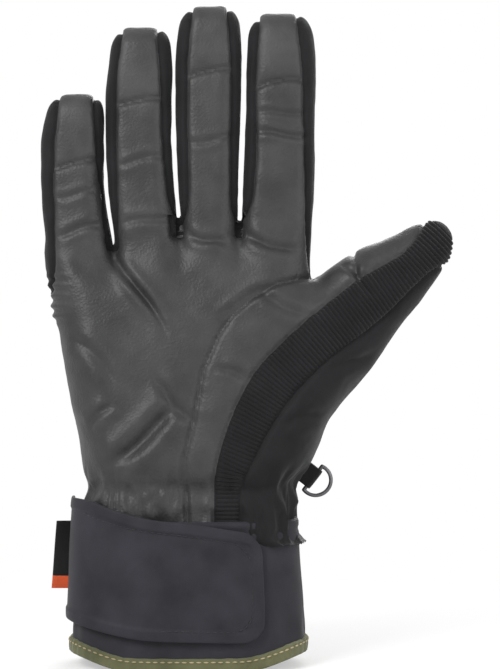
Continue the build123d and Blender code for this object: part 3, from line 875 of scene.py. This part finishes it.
def build_finishes() -> dict[str, bpy.types.Material]:
    """All finishes by name."""
    grain = noise_group()
    return {finish.name: finish.material(grain) for finish in FINISHES}


def dress_frame(finishes: dict[str, bpy.types.Material]) -> None:
    """Gives every CAD node the finish of its material slot."""
    slots = {part["node"]: part["material_slot"] for part in frame["record"]["subparts"]}
    for name, node in frame["nodes"].items():
        for place in node.material_slots:
            place.material = finishes[slots[name]]


# ---------------------------------------------------------------------- studio
@dataclass(frozen=True)
class Studio:
    """White room, soft lamps and a camera square to the palm."""

    distance: float = 0.9
    middle: tuple[float, float] = (0.0262, 0.1406)
    seen_height: float = 0.283
    plane: float = -0.012
    sensor: float = 24.0

    def camera(self) -> None:
        """A camera at mid height, whose view is seen_height tall at the palm."""
        data = bpy.data.cameras.new("camera")
        data.sensor_fit = "VERTICAL"
        data.sensor_height = self.sensor
        data.lens = self.sensor * (self.distance + self.plane) / self.seen_height
        camera = bpy.data.objects.new("camera", data)
        camera.location = (self.middle[0], -self.distance, self.middle[1])
        camera.rotation_euler = (radians(90), 0, 0)
        bpy.context.collection.objects.link(camera)
        bpy.context.scene.camera = camera

    def lamp(self, name: str, place: tuple[float, float, float], size: float, watts: float) -> None:
        """A square soft lamp that faces the glove's middle."""
        data = bpy.data.lights.new(name, "AREA")
        data.size = size
        data.energy = watts
        lamp = bpy.data.objects.new(name, data)
        lamp.location = place
        aim = Vector((self.middle[0], 0, self.middle[1])) - lamp.location
        lamp.rotation_euler = aim.to_track_quat("-Z", "Y").to_euler()
        bpy.context.collection.objects.link(lamp)

    def white_to_camera(self, tree: bpy.types.NodeTree, plain: bpy.types.Node, out: bpy.types.Node) -> None:
        """Shows pure white to the camera, in mirrors and through glass, and the plain shader to all else."""
        path = tree.nodes.new("ShaderNodeLightPath")
        white = tree.nodes.new("ShaderNodeBackground" if out.type == "OUTPUT_WORLD" else "ShaderNodeEmission")
        white.inputs["Color"].default_value = (1, 1, 1, 1)
        mix = tree.nodes.new("ShaderNodeMixShader")
        most = tree.nodes.new("ShaderNodeMath")
        most.operation = "MAXIMUM"
        also = tree.nodes.new("ShaderNodeMath")
        also.operation = "MAXIMUM"
        tree.links.new(path.outputs["Is Camera Ray"], most.inputs[0])
        tree.links.new(path.outputs["Is Glossy Ray"], most.inputs[1])
        tree.links.new(most.outputs[0], also.inputs[0])
        tree.links.new(path.outputs["Is Transmission Ray"], also.inputs[1])
        tree.links.new(also.outputs[0], mix.inputs[0])
        tree.links.new(plain.outputs[0], mix.inputs[1])
        tree.links.new(white.outputs[0], mix.inputs[2])
        tree.links.new(mix.outputs[0], out.inputs["Surface"])

    def floor_finish(self, tree: bpy.types.NodeTree) -> None:
        """Pale matt floor that takes the shadow near the glove and is white further out."""
        pale = tree.nodes["Principled BSDF"]
        pale.inputs["Base Color"].default_value = (0.93, 0.93, 0.93, 1)
        pale.inputs["Roughness"].default_value = 0.9
        where = tree.nodes.new("ShaderNodeTexCoord")
        distance = tree.nodes.new("ShaderNodeVectorMath")
        distance.operation = "LENGTH"
        fade = tree.nodes.new("ShaderNodeMapRange")
        fade.interpolation_type = "SMOOTHSTEP"
        fade.inputs["From Min"].default_value, fade.inputs["From Max"].default_value = 0.06, 0.32
        fade.inputs["To Min"].default_value = 0.45
        white = tree.nodes.new("ShaderNodeEmission")
        path = tree.nodes.new("ShaderNodeLightPath")
        share = tree.nodes.new("ShaderNodeMath")
        share.operation = "MULTIPLY"
        mix = tree.nodes.new("ShaderNodeMixShader")
        tree.links.new(where.outputs["Object"], distance.inputs[0])
        tree.links.new(distance.outputs["Value"], fade.inputs["Value"])
        tree.links.new(fade.outputs["Result"], share.inputs[0])
        tree.links.new(path.outputs["Is Camera Ray"], share.inputs[1])
        tree.links.new(share.outputs["Value"], mix.inputs[0])
        tree.links.new(pale.outputs["BSDF"], mix.inputs[1])
        tree.links.new(white.outputs["Emission"], mix.inputs[2])
        tree.links.new(mix.outputs["Shader"], tree.nodes["Material Output"].inputs["Surface"])

    def build(self) -> None:
        """Adds world, floor, lamps and camera."""
        scene = bpy.context.scene
        scene.view_settings.view_transform = "Standard"
        world = bpy.data.worlds.new("studio")
        scene.world = world
        world.use_nodes = True
        plain = world.node_tree.nodes["Background"]
        plain.inputs["Color"].default_value = (1, 1, 1, 1)
        plain.inputs["Strength"].default_value = 0.55
        self.white_to_camera(world.node_tree, plain, world.node_tree.nodes["World Output"])
        size = 4.0
        corners = [(-size, -size, 0), (size, -size, 0), (size, size, 0), (-size, size, 0)]
        mesh = bpy.data.meshes.new("floor")
        mesh.from_pydata(corners, [], [(0, 1, 2, 3)])
        floor = bpy.data.objects.new("floor", mesh)
        bpy.context.collection.objects.link(floor)
        pale = bpy.data.materials.new("floor")
        pale.use_nodes = True
        self.floor_finish(pale.node_tree)
        mesh.materials.append(pale)
        self.lamp("key", (-0.55, -0.75, 0.75), 0.5, 9.0)
        self.lamp("fill", (0.8, -0.7, 0.35), 0.8, 4.0)
        self.lamp("back", (0.3, 0.9, 0.6), 0.7, 7.0)
        self.camera()


# ----------------------------------------------------------- the hand's own pieces
@dataclass(frozen=True)
class Bend:
    """Where a stall turns: the body of the stall's end and the two ends of the stretch round its joint."""

    body: str
    start: tuple[float, float, float]
    end: tuple[float, float, float]

    def apply(self, piece: bpy.types.Object) -> None:
        """Bakes a finished piece's transform into its mesh."""
        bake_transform(piece)


def stall_bend(name: str, length: float) -> Bend:
    """The bend of a stall, length mm long, centred on its joint and along the stall.

    Args:
        name: the stall's name, as in its joint and body.
        length: length of the stretch round the joint, in mm.

    Returns:
        The bend, read from the frame's joint.
    """
    joint = next(j for j in frame["record"]["behaviour"]["joints"] if j["name"] == f"{name}_bend")
    pivot = np.array(joint["pos_m"]) / MM
    heading = THUMB_HEADING if name == "thumb" else np.cross(joint["axis"], (0, 1, 0))
    half = heading / np.linalg.norm(heading) * length / 2
    return Bend(f"{name}_end", tuple(pivot - half), tuple(pivot + half))


THUMB_HEADING = np.array((0.7314, 0.0, 0.6820))
FINGER_BEND_LENGTH = 26.0
THUMB_BEND_LENGTH = 24.0
INNER_STEP = 2.4
WAIST_ROOM = 3.5  # how far the inner layers draw in at the gathered wrist
HAND_LOW = (-70.0, -34.0, 46.0)
HAND_HIGH = (122.0, 34.0, CUT_HEIGHT + 7.0)


@dataclass(frozen=True)
class Layer:
    """An inner layer of the glove: its inset from the outside and what it stands for."""

    name: str
    inset: float
    finish: str
    hand_nodes: tuple[str, ...]
    stall_node: str = ""


LAYERS = (
    Layer("insulation", 3.9, "insulation", ("palm_insulation", "back_insulation")),
    Layer("membrane", 4.7, "membrane", ("membrane_insert",)),
    Layer("lining", 5.5, "lining", ("lining", "thumb_liner", "thumb_tip_liner"), "liner"),
)


@dataclass
class HandPieces:
    """Cuts the hand's surface into its sewn panels and dresses them."""

    hand: Hand
    finishes: dict[str, bpy.types.Material]

    def place(self, name: str, shell: Shell, finish: str, nodes: tuple[str, ...], bend: Bend | None) -> bpy.types.Object:
        """Adds one panel and hides the nodes it stands for; without a bend it is tied to the glove's body, and with one
        its transform is baked.
        """
        piece = make_object(name, shell, self.finishes[finish])
        if nodes:
            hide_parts(*nodes)
        if bend:
            bend.apply(piece)
        else:
            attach(piece, GLOVE)
        LOG.info("%s: %d faces", name, len(shell.faces))
        return piece

    def rib(self, shell: Shell) -> Shell:
        """Raises the knitted ribs, level across the strip, on a finer copy of its surface."""
        fine = split_faces(split_faces(shell))
        along, _ = along_path(fine.points, spline_points(RIB_MIDDLE, 10, closed=False))
        flat = smoothstep(fine.seam, 0.2, 1.6)
        wave = np.abs(np.cos(np.pi * along / 1.75))
        fine.points = fine.points + (0.75 * flat * (wave - 0.6))[:, None] * fine.normal
        fine.normal = fine.point_normals()
        return fine

    def build_hand(self) -> None:
        """Palm, back, sides and thumb, up to the height where the stalls' own meshes start."""
        shell = self.hand.surface(HAND_LOW, HAND_HIGH, STALLS)
        centre = shell.points[shell.faces].mean(1)
        shell.label = hand_labels(centre)
        high = (centre[:, 2] > CUT_HEIGHT - 9) & (centre[:, 0] < 53.5)
        for stall in STALLS:
            mine = high & (np.abs(centre[:, 0] - curve_at(centre[:, 2], stall.middle)) < 15.5)
            shell.label[mine] = stall_labels(centre[mine], stall)
        shell = dress(sew(shell))
        below = (shell.layer < CUT_HEIGHT) & (shell.points[shell.faces].mean(1)[:, 2] > 52.0)
        below |= (shell.layer >= CUT_HEIGHT) & (centre[:, 0] > 56.0)
        thumb = stall_bend("thumb", THUMB_BEND_LENGTH)
        plan = (
            ("palm_leather", Panel.PALM, "leather_palm", ("palm_panel",), None),
            ("back_shell", Panel.BACK, "shell_nylon", ("back_panel",), None),
            ("stall_base_sides", Panel.SIDE, "fourchette_knit", ("finger_base_fourchettes",), None),
            ("thumb_leather_panel", Panel.THUMB_LEATHER, "leather_palm", ("thumb_leather",), thumb),
            ("thumb_tip_leather", Panel.THUMB_TIP, "leather_palm", ("thumb_tip_patch",), thumb),
            ("thumb_rib", Panel.RIB, "rib_knit", ("thumb_rib_panel", "thumb_tip_rib"), thumb),
            ("thumb_shell", Panel.THUMB_BACK, "shell_nylon", ("thumb_back", "thumb_tip_back"), thumb),
        )
        for name, panel, finish, nodes, bend in plan:
            part = shell.kept(below & (shell.label == panel.value))
            if panel is Panel.RIB:
                part = self.rib(part)
            self.place(name, part, finish, nodes, bend)

    def build_stall(self, stall: Stall) -> None:
        """One finger stall's four kinds of panel."""
        middle = curve_at(np.array([CUT_HEIGHT, stall.tip]), stall.middle)
        low = (middle.min() - 19, -20.0, CUT_HEIGHT - 7.0)
        high = (middle.max() + 19, 20.0, stall.tip + 3.0)
        shell = self.hand.surface(low, high, (stall,))
        centre = shell.points[shell.faces].mean(1)
        shell.label = stall_labels(centre, stall)
        shell = dress(sew(shell))
        above = shell.layer >= CUT_HEIGHT
        bend = stall_bend(stall.name, FINGER_BEND_LENGTH)
        plan = (
            ("front_leather", Panel.PALM, "leather_palm", "front"),
            ("tip_leather", Panel.PATCH, "leather_patch", "tip_patch"),
            ("side_strips", Panel.SIDE, "fourchette_knit", "fourchettes"),
            ("back_cloth", Panel.BACK, "shell_nylon", "back"),
        )
        for name, panel, finish, node in plan:
            part = shell.kept(above & (shell.label == panel.value))
            self.place(f"{stall.name}_{name}", part, finish, (f"{stall.name}_{node}",), bend)

    def build_layers(self) -> None:
        """The padding, the waterproof insert and the lining, as nested thin shells."""
        thumb = stall_bend("thumb", THUMB_BEND_LENGTH)
        for layer in LAYERS:
            shell = self.hand.surface(HAND_LOW, HAND_HIGH, STALLS, layer.inset, INNER_STEP)
            waist = WAIST_ROOM * (1 - smoothstep(shell.points[:, 2], 84.0, 96.0))
            shell.points = shell.points - waist[:, None] * shell.point_normals()
            centre = shell.points[shell.faces].mean(1)
            below = (shell.layer < CUT_HEIGHT) & (centre[:, 2] > 56.0)
            self.place(f"hand_{layer.name}", shell.kept(below), layer.finish, layer.hand_nodes, thumb)
            for stall in STALLS:
                middle = curve_at(np.array([CUT_HEIGHT, stall.tip]), stall.middle)
                low = (middle.min() - 19, -20.0, CUT_HEIGHT - 7.0)
                high = (middle.max() + 19, 20.0, stall.tip + 3.0)
                shell = self.hand.surface(low, high, (stall,), layer.inset, INNER_STEP)
                nodes = (f"{stall.name}_{layer.stall_node}",) if layer.stall_node else ()
                part = shell.kept(shell.layer >= CUT_HEIGHT)
                bend = stall_bend(stall.name, FINGER_BEND_LENGTH)
                self.place(f"{stall.name}_{layer.name}", part, layer.finish, nodes, bend)


def split_faces(shell: Shell) -> Shell:
    """Each quad as four: edge middles and face centres become points."""
    edges, _ = shell.edges()
    count = len(shell.points)
    key = edges[:, 0].astype(np.int64) * count + edges[:, 1]
    f = shell.faces
    nxt = np.roll(f, -1, axis=1)
    face_key = np.minimum(f, nxt).astype(np.int64) * count + np.maximum(f, nxt)
    mid = count + np.searchsorted(key, face_key)
    centre = count + len(edges) + np.arange(len(f))

    def spread(values: Array) -> Array:
        """Values at the old points, the edge middles and the face centres."""
        return np.concatenate([values, values[edges].mean(1), values[f].mean(1)])

    back = np.roll(mid, 1, axis=1)
    faces = np.stack([f, mid, np.repeat(centre[:, None], 4, 1), back], axis=2).reshape(-1, 4)
    fine = Shell(spread(shell.points), faces, seam=spread(shell.seam), normal=spread(shell.normal))
    return fine


# ------------------------------------------------------------------------- cuff
@dataclass
class Cuff:
    """The short cuff: a flattened tube with a curved hem, its binding, strap and label."""

    finishes: dict[str, bpy.types.Material]
    height: float = 61.5
    hem_rise: float = 6.0
    strap_lift: float = 1.9
    strap_wall: float = 2.0
    border: float = 4.6

    def section(self, turn: Array, z: Array, out: float | Array = 0.0) -> Array:
        """A point of the cuff: an oval of power 2.5 whose half sizes shrink with height.

        Args:
            turn: angle round the oval; 0 is the thumb side, and -90 degrees the palm side.
            z: height in mm.
            out: distance outside the cuff's surface.

        Returns:
            Points with a last axis of three.
        """
        c, s = np.cos(turn), np.sin(turn)
        up = z / 62.0
        wide = 50.2 - 3.2 * up + out
        deep = 30.2 - 3.4 * up + out
        power = 2 / 2.5
        x = wide * np.sign(c) * np.abs(c) ** power
        y = deep * np.sign(s) * np.abs(s) ** power
        return np.stack(np.broadcast_arrays(x, y, z), axis=-1)

    def hem(self, turn: Array) -> Array:
        """Height of the hem: level at front and back, raised at both sides."""
        side = np.abs(np.cos(turn))
        return self.hem_rise * smoothstep(side, 0.35, 1.05)

    def body(self, name: str, first: float, last: float, finish: str, node: str) -> None:
        """One half of the cuff: a closed wall between two side seams.

        The profile runs up the outside, over a rolled top and down the inside.
        """
        turn = np.radians(np.linspace(first, last, 121))[:, None]
        rise = np.concatenate([np.linspace(0.02, 1, 60), [1.0, 1.0, 1.0], np.linspace(1, 0.02, 20)])[None, :]
        out = np.concatenate([np.zeros(60), [-0.6, -1.4, -2.2], np.full(20, -3.0)])[None, :]
        top = np.concatenate([np.zeros(60), [0.7, 0.9, 0.6], np.zeros(20)])[None, :]
        low = self.hem(turn)
        z = low + (self.height - low) * rise + top
        edge = np.minimum(turn - turn[0], turn[-1] - turn) * 40.0
        grid = self.section(turn, z, out)
        soft = grid.reshape(-1, 3)
        ripple = 0.5 * value_noise(soft, 24.0, 21) + 0.22 * value_noise(soft * (1, 1, 0.6), 9.0, 22)
        ripple = ripple.reshape(z.shape) - 0.9 * np.exp(-((edge / 1.3) ** 2))
        ripple -= 0.5 * np.exp(-(((z - 58.2) / 0.8) ** 2)) * (out > -0.1)
        ripple += 0.35 * np.exp(-(((z - 16) / 6.0) ** 2)) * np.sin(turn * 14)
        shell = sheet_grid(self.section(turn, z, out + ripple), closed_v=True)
        piece = make_object(name, shell, self.finishes[finish])
        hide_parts(node)
        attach(piece, GLOVE)

    def lining(self) -> None:
        """The cuff's lining, a single sheet inside the wall."""
        turn = np.radians(np.linspace(0, 360, 120, endpoint=False))[:, None]
        z = self.hem(turn) + 2.0 + (60 - self.hem(turn)) * np.linspace(0, 1, 24)[None, :]
        shell = sheet_grid(self.section(turn, z, -3.9), closed_u=True)
        shell.faces = shell.faces[:, ::-1]
        piece = make_object("cuff_inner", shell, self.finishes["lining"])
        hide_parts("cuff_lining")
        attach(piece, GLOVE)

    def binding(self) -> None:
        """The hem's bound edge: a folded strip over both sides, with a row of pale stitches."""
        turn = np.radians(np.linspace(0, 360, 320, endpoint=False))[:, None]
        lap = np.linspace(0, 1, 25)[None, :]
        outside = np.clip(lap / 0.42, 0, 1)
        under = np.clip((lap - 0.42) / 0.16, 0, 1)
        inside = np.clip((lap - 0.58) / 0.42, 0, 1)
        z = 5.8 * (1 - outside) + 5.8 * inside - 0.25 * np.sin(np.pi * under)
        out = 0.9 - 5.4 * under - 0.5 * (lap < 0.03) + 0.35 * np.sin(np.pi * outside)
        level = self.hem(turn) + 0.3
        waves = 0.28 * np.sin(turn * 47) + 0.2 * np.sin(turn * 29 + 1)
        grid = self.section(turn, level + z + 0.25 * waves, out + waves * 0.6)
        shell = sheet_grid(grid, closed_u=True, closed_v=True)
        shell.faces = shell.faces[:, ::-1]
        line = self.section(turn[:, 0], level[:, 0] + 4.5, 1.5)
        outward = self.section(turn[:, 0], level[:, 0] + 4.5, 5.0) - line
        outward /= np.linalg.norm(outward, axis=1, keepdims=True)
        threads = stitch_row(np.vstack([line, line[:1]]), np.vstack([outward, outward[:1]]), 2.1, 3.0, 0.33)
        tape = make_object("hem_tape", shell, self.finishes["binding"])
        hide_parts("hem_binding")
        stitches = make_object("hem_stitches", threads, self.finishes["pale_thread"])
        for piece in (tape, stitches):
            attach(piece, GLOVE)

    def strap_edge(self, x: Array) -> tuple[Array, Array]:
        """Bottom and top of the strap by x: sloping edges that close in a rounded end."""
        top = curve_at(x, ((-52, 71.5), (-42, 71.0), (-33, 68.3), (-17.8, 64.2), (4.7, 61.5), (24.5, 58.2), (31, 57.0)))
        low = curve_at(x, ((-52, 20.5), (-46, 19.4), (-19.5, 14.2), (10.6, 12.9), (22, 12.6), (31, 13.0)))
        radius = 8.5
        past = np.clip(x - (31.0 - radius), 0, radius)
        closing = radius - np.sqrt(np.maximum(radius**2 - past**2, 0))
        return low + closing, top - closing

    def strap(self) -> None:
        """The strap: a closed thin pad on the cuff's curve, with a pressed-in middle.

        Across it, the profile is a flat loop with round ends; its outer side sinks by
        half a millimetre further than the border from the edge.
        """
        place = np.concatenate([np.linspace(0, 0.9, 130), 0.9 + 0.1 * np.sin(np.linspace(0, np.pi / 2, 24))[1:]])
        turn = np.radians(-181.0) + place * radians(181.0 - 52.2)
        reach = self.section(turn, np.full(turn.shape, 38.0), self.strap_lift)[:, 0]
        reach = reach + (31.0 - reach[-1]) * smoothstep(place, 0.55, 1.0)
        low, top = self.strap_edge(reach)
        loop = np.linspace(0, 2 * np.pi, 120, endpoint=False)
        flat = np.sign(np.cos(loop)) * np.abs(np.cos(loop)) ** 0.5
        thick = np.sign(np.sin(loop)) * np.abs(np.sin(loop)) ** 0.35
        z = (low[:, None] + top[:, None]) / 2 + (top - low)[:, None] / 2 * flat[None, :]
        inward = np.minimum((top - low)[:, None] / 2 * (1 - np.abs(flat[None, :])), (31.0 - reach)[:, None])
        pressed = 0.55 * smoothstep(inward, self.border - 0.5, self.border + 0.5)
        end = np.clip((31.0 - reach) / 1.2, 0.05, 1)[:, None] ** 0.5
        half = self.strap_wall / 2
        outer = (thick > 0)[None, :]
        out = self.strap_lift + half + half * thick[None, :] * end - pressed * outer
        grid = self.section(turn[:, None], z, out)
        ripple = 0.4 * value_noise(grid.reshape(-1, 3), 17.0, 31).reshape(z.shape)
        grid = self.section(turn[:, None], z, out + ripple)
        grid[..., 0] += (reach - self.section(turn, np.full(turn.shape, 38.0), self.strap_lift)[:, 0])[:, None]
        shell = sheet_grid(grid, closed_v=True)
        piece = make_object("strap_tab", shell, self.finishes["strap"])
        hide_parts("wrist_strap")
        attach(piece, "strap")
        self.strap_stitches(turn, reach)

    def strap_stitches(self, turn: Array, reach: Array) -> None:
        """Threads along the strap's top, end and bottom, inside its border."""
        bare = self.section(turn, np.full(turn.shape, 38.0), self.strap_lift)[:, 0]
        low, top = self.strap_edge(np.minimum(reach + self.border, 31.0))
        keep = (reach > -44) & (reach < 31.0 - self.border)
        t, r, b = turn[keep], reach[keep], bare[keep]
        path_turn = np.concatenate([t, t[::-1]])
        path_z = np.concatenate([top[keep] - self.border, (low[keep] + self.border)[::-1]])
        shift = np.concatenate([r - b, (r - b)[::-1]])
        line = self.section(path_turn, path_z, self.strap_lift + self.strap_wall - 0.35)
        line[:, 0] += shift
        outward = self.section(path_turn, path_z, 9.0) - self.section(path_turn, path_z, 0.0)
        outward /= np.linalg.norm(outward, axis=1, keepdims=True)
        threads = stitch_row(line, outward, 1.9, 2.7, 0.26)
        piece = make_object("strap_stitches", threads, self.finishes["thread"])
        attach(piece, "strap")

    def patch(self, name: str, node: str, body: str, span: tuple[float, float], level: tuple[float, float], out: float) -> None:
        """A thin fastening patch on the cuff's curve, with rounded edges."""
        finish = "hook" if node == "hook_patch" else "loop"
        turn = np.radians(np.linspace(*span, 50))[:, None]
        loop = np.linspace(0, 2 * np.pi, 40, endpoint=False)[None, :]
        z = (level[0] + level[1]) / 2 + (level[1] - level[0]) / 2 * np.sign(np.cos(loop)) * np.abs(np.cos(loop)) ** 0.5
        thick = 0.35 * np.sign(np.sin(loop)) * np.abs(np.sin(loop)) ** 0.4
        edge = np.clip(np.minimum(np.arange(50), np.arange(50)[::-1]) / 2, 0.05, 1)[:, None]
        shell = sheet_grid(self.section(turn, z, out + thick * edge), closed_v=True)
        piece = make_object(name, shell, self.finishes[finish])
        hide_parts(node)
        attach(piece, body)

    def label(self) -> None:
        """The side label: a folded ribbon standing out from the side seam, bare of lettering."""
        rise = np.linspace(0, 1, 60)[:, None]
        loop = np.linspace(0, 2 * np.pi, 32, endpoint=False)[None, :]
        z = 31.5 + 29.0 * rise + 0 * loop
        root = -47.6 - 2.2 * (1 - rise)
        wide = 4.7
        x = root - wide + (wide * np.sign(np.cos(loop)) * np.abs(np.cos(loop)) ** 0.6)
        y = 3.0 + 0.55 * np.sin(loop) * (1 + 0.3 * np.sin(rise * 7)) + 0.5 * np.sin(rise * 5 + x * 0.2)
        grid = np.stack([x, y, z], axis=-1)
        for name, rows, finish in (("label_ribbon", slice(11, 60), "label"), ("label_ribbon_end", slice(0, 12), "label_end")):
            shell = sheet_grid(grid[rows], closed_v=True)
            shell.faces = shell.faces[:, ::-1]
            piece = make_object(name, shell, self.finishes[finish])
            if finish == "label":
                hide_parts("side_label")
            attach(piece, "label")

    def tape(self) -> None:
        """The folded tape that holds the ring: a strip carried round the ring's bar."""
        bar = np.array(next(j for j in frame["record"]["behaviour"]["joints"] if j["name"] == "d_ring_swing")["pos_m"]) / MM
        axis = np.array((0.6157, 0.0, 0.7880))
        out = np.array((0.7880, 0.0, -0.6157))
        side = np.array((0.0, 1.0, 0.0))
        bend = np.linspace(radians(100), radians(-100), 24)
        around = np.stack([1.35 * np.cos(bend), 1.35 * np.sin(bend)], axis=1)
        run = np.linspace(-11, -0.4, 10)
        path = np.vstack([
            np.stack([run, np.full(10, 1.3)], 1), around, np.stack([run[::-1], np.full(10, -1.3)], 1)
        ])  # fmt: skip
        ahead = np.gradient(path, axis=0)
        normal = np.stack([-ahead[:, 1], ahead[:, 0]], 1)
        normal /= np.linalg.norm(normal, axis=1, keepdims=True)
        loop = np.linspace(0, 2 * np.pi, 28, endpoint=False)
        wide = 4.7 * np.sign(np.cos(loop)) * np.abs(np.cos(loop)) ** 0.5
        thick = 0.38 * np.sign(np.sin(loop)) * np.abs(np.sin(loop)) ** 0.6
        flat = path[:, None, :] + normal[:, None, :] * thick[None, :, None]
        grid = bar + flat[..., :1] * out + flat[..., 1:] * side + wide[None, :, None] * axis
        piece = make_object("ring_tape", sheet_grid(grid, closed_v=True), self.finishes["webbing"])
        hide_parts("clip_webbing")
        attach(piece, GLOVE)

    def elastic(self) -> None:
        """The wrist's elastic, a band inside the hand's lining."""
        turn = np.radians(np.linspace(0, 360, 90, endpoint=False))[:, None]
        loop = np.linspace(0, 2 * np.pi, 12, endpoint=False)[None, :]
        z = 71.0 + 4.6 * np.cos(loop) + 0 * turn
        shell = sheet_grid(self.section(turn, z, -8.6 + 0.4 * np.sin(loop)), closed_u=True, closed_v=True)
        piece = make_object("elastic_band", shell, self.finishes["elastic"])
        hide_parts("wrist_elastic")
        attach(piece, GLOVE)

    def build(self) -> None:
        """Builds the cuff and all that is sewn to it."""
        self.body("cuff_palm_side", -178.0, -2.0, "softshell", "cuff_front")
        self.body("cuff_back_side", 2.0, 178.0, "shell_nylon", "cuff_back")
        self.lining()
        self.binding()
        self.strap()
        self.patch("loop_tape", "loop_patch", GLOVE, (-112.0, -58.0), (20.0, 50.0), 0.45)
        self.patch("hook_tape", "hook_patch", "strap", (-88.0, -58.0), (19.0, 49.0), 1.5)
        self.label()
        self.tape()
        self.elastic()


def main() -> None:
    """Builds the glove from its hand outwards, then the studio."""
    logging.basicConfig(level=logging.INFO)
    finishes = build_finishes()
    dress_frame(finishes)
    pieces = HandPieces(Hand(), finishes)
    pieces.build_hand()
    LOG.info("hand panels done")
    for stall in STALLS:
        pieces.build_stall(stall)
    LOG.info("finger stalls done")
    pieces.build_layers()
    Cuff(finishes).build()
    LOG.info("cuff, strap, label and tape done")
    Studio().build()


if __name__ == "__main__":
    main()
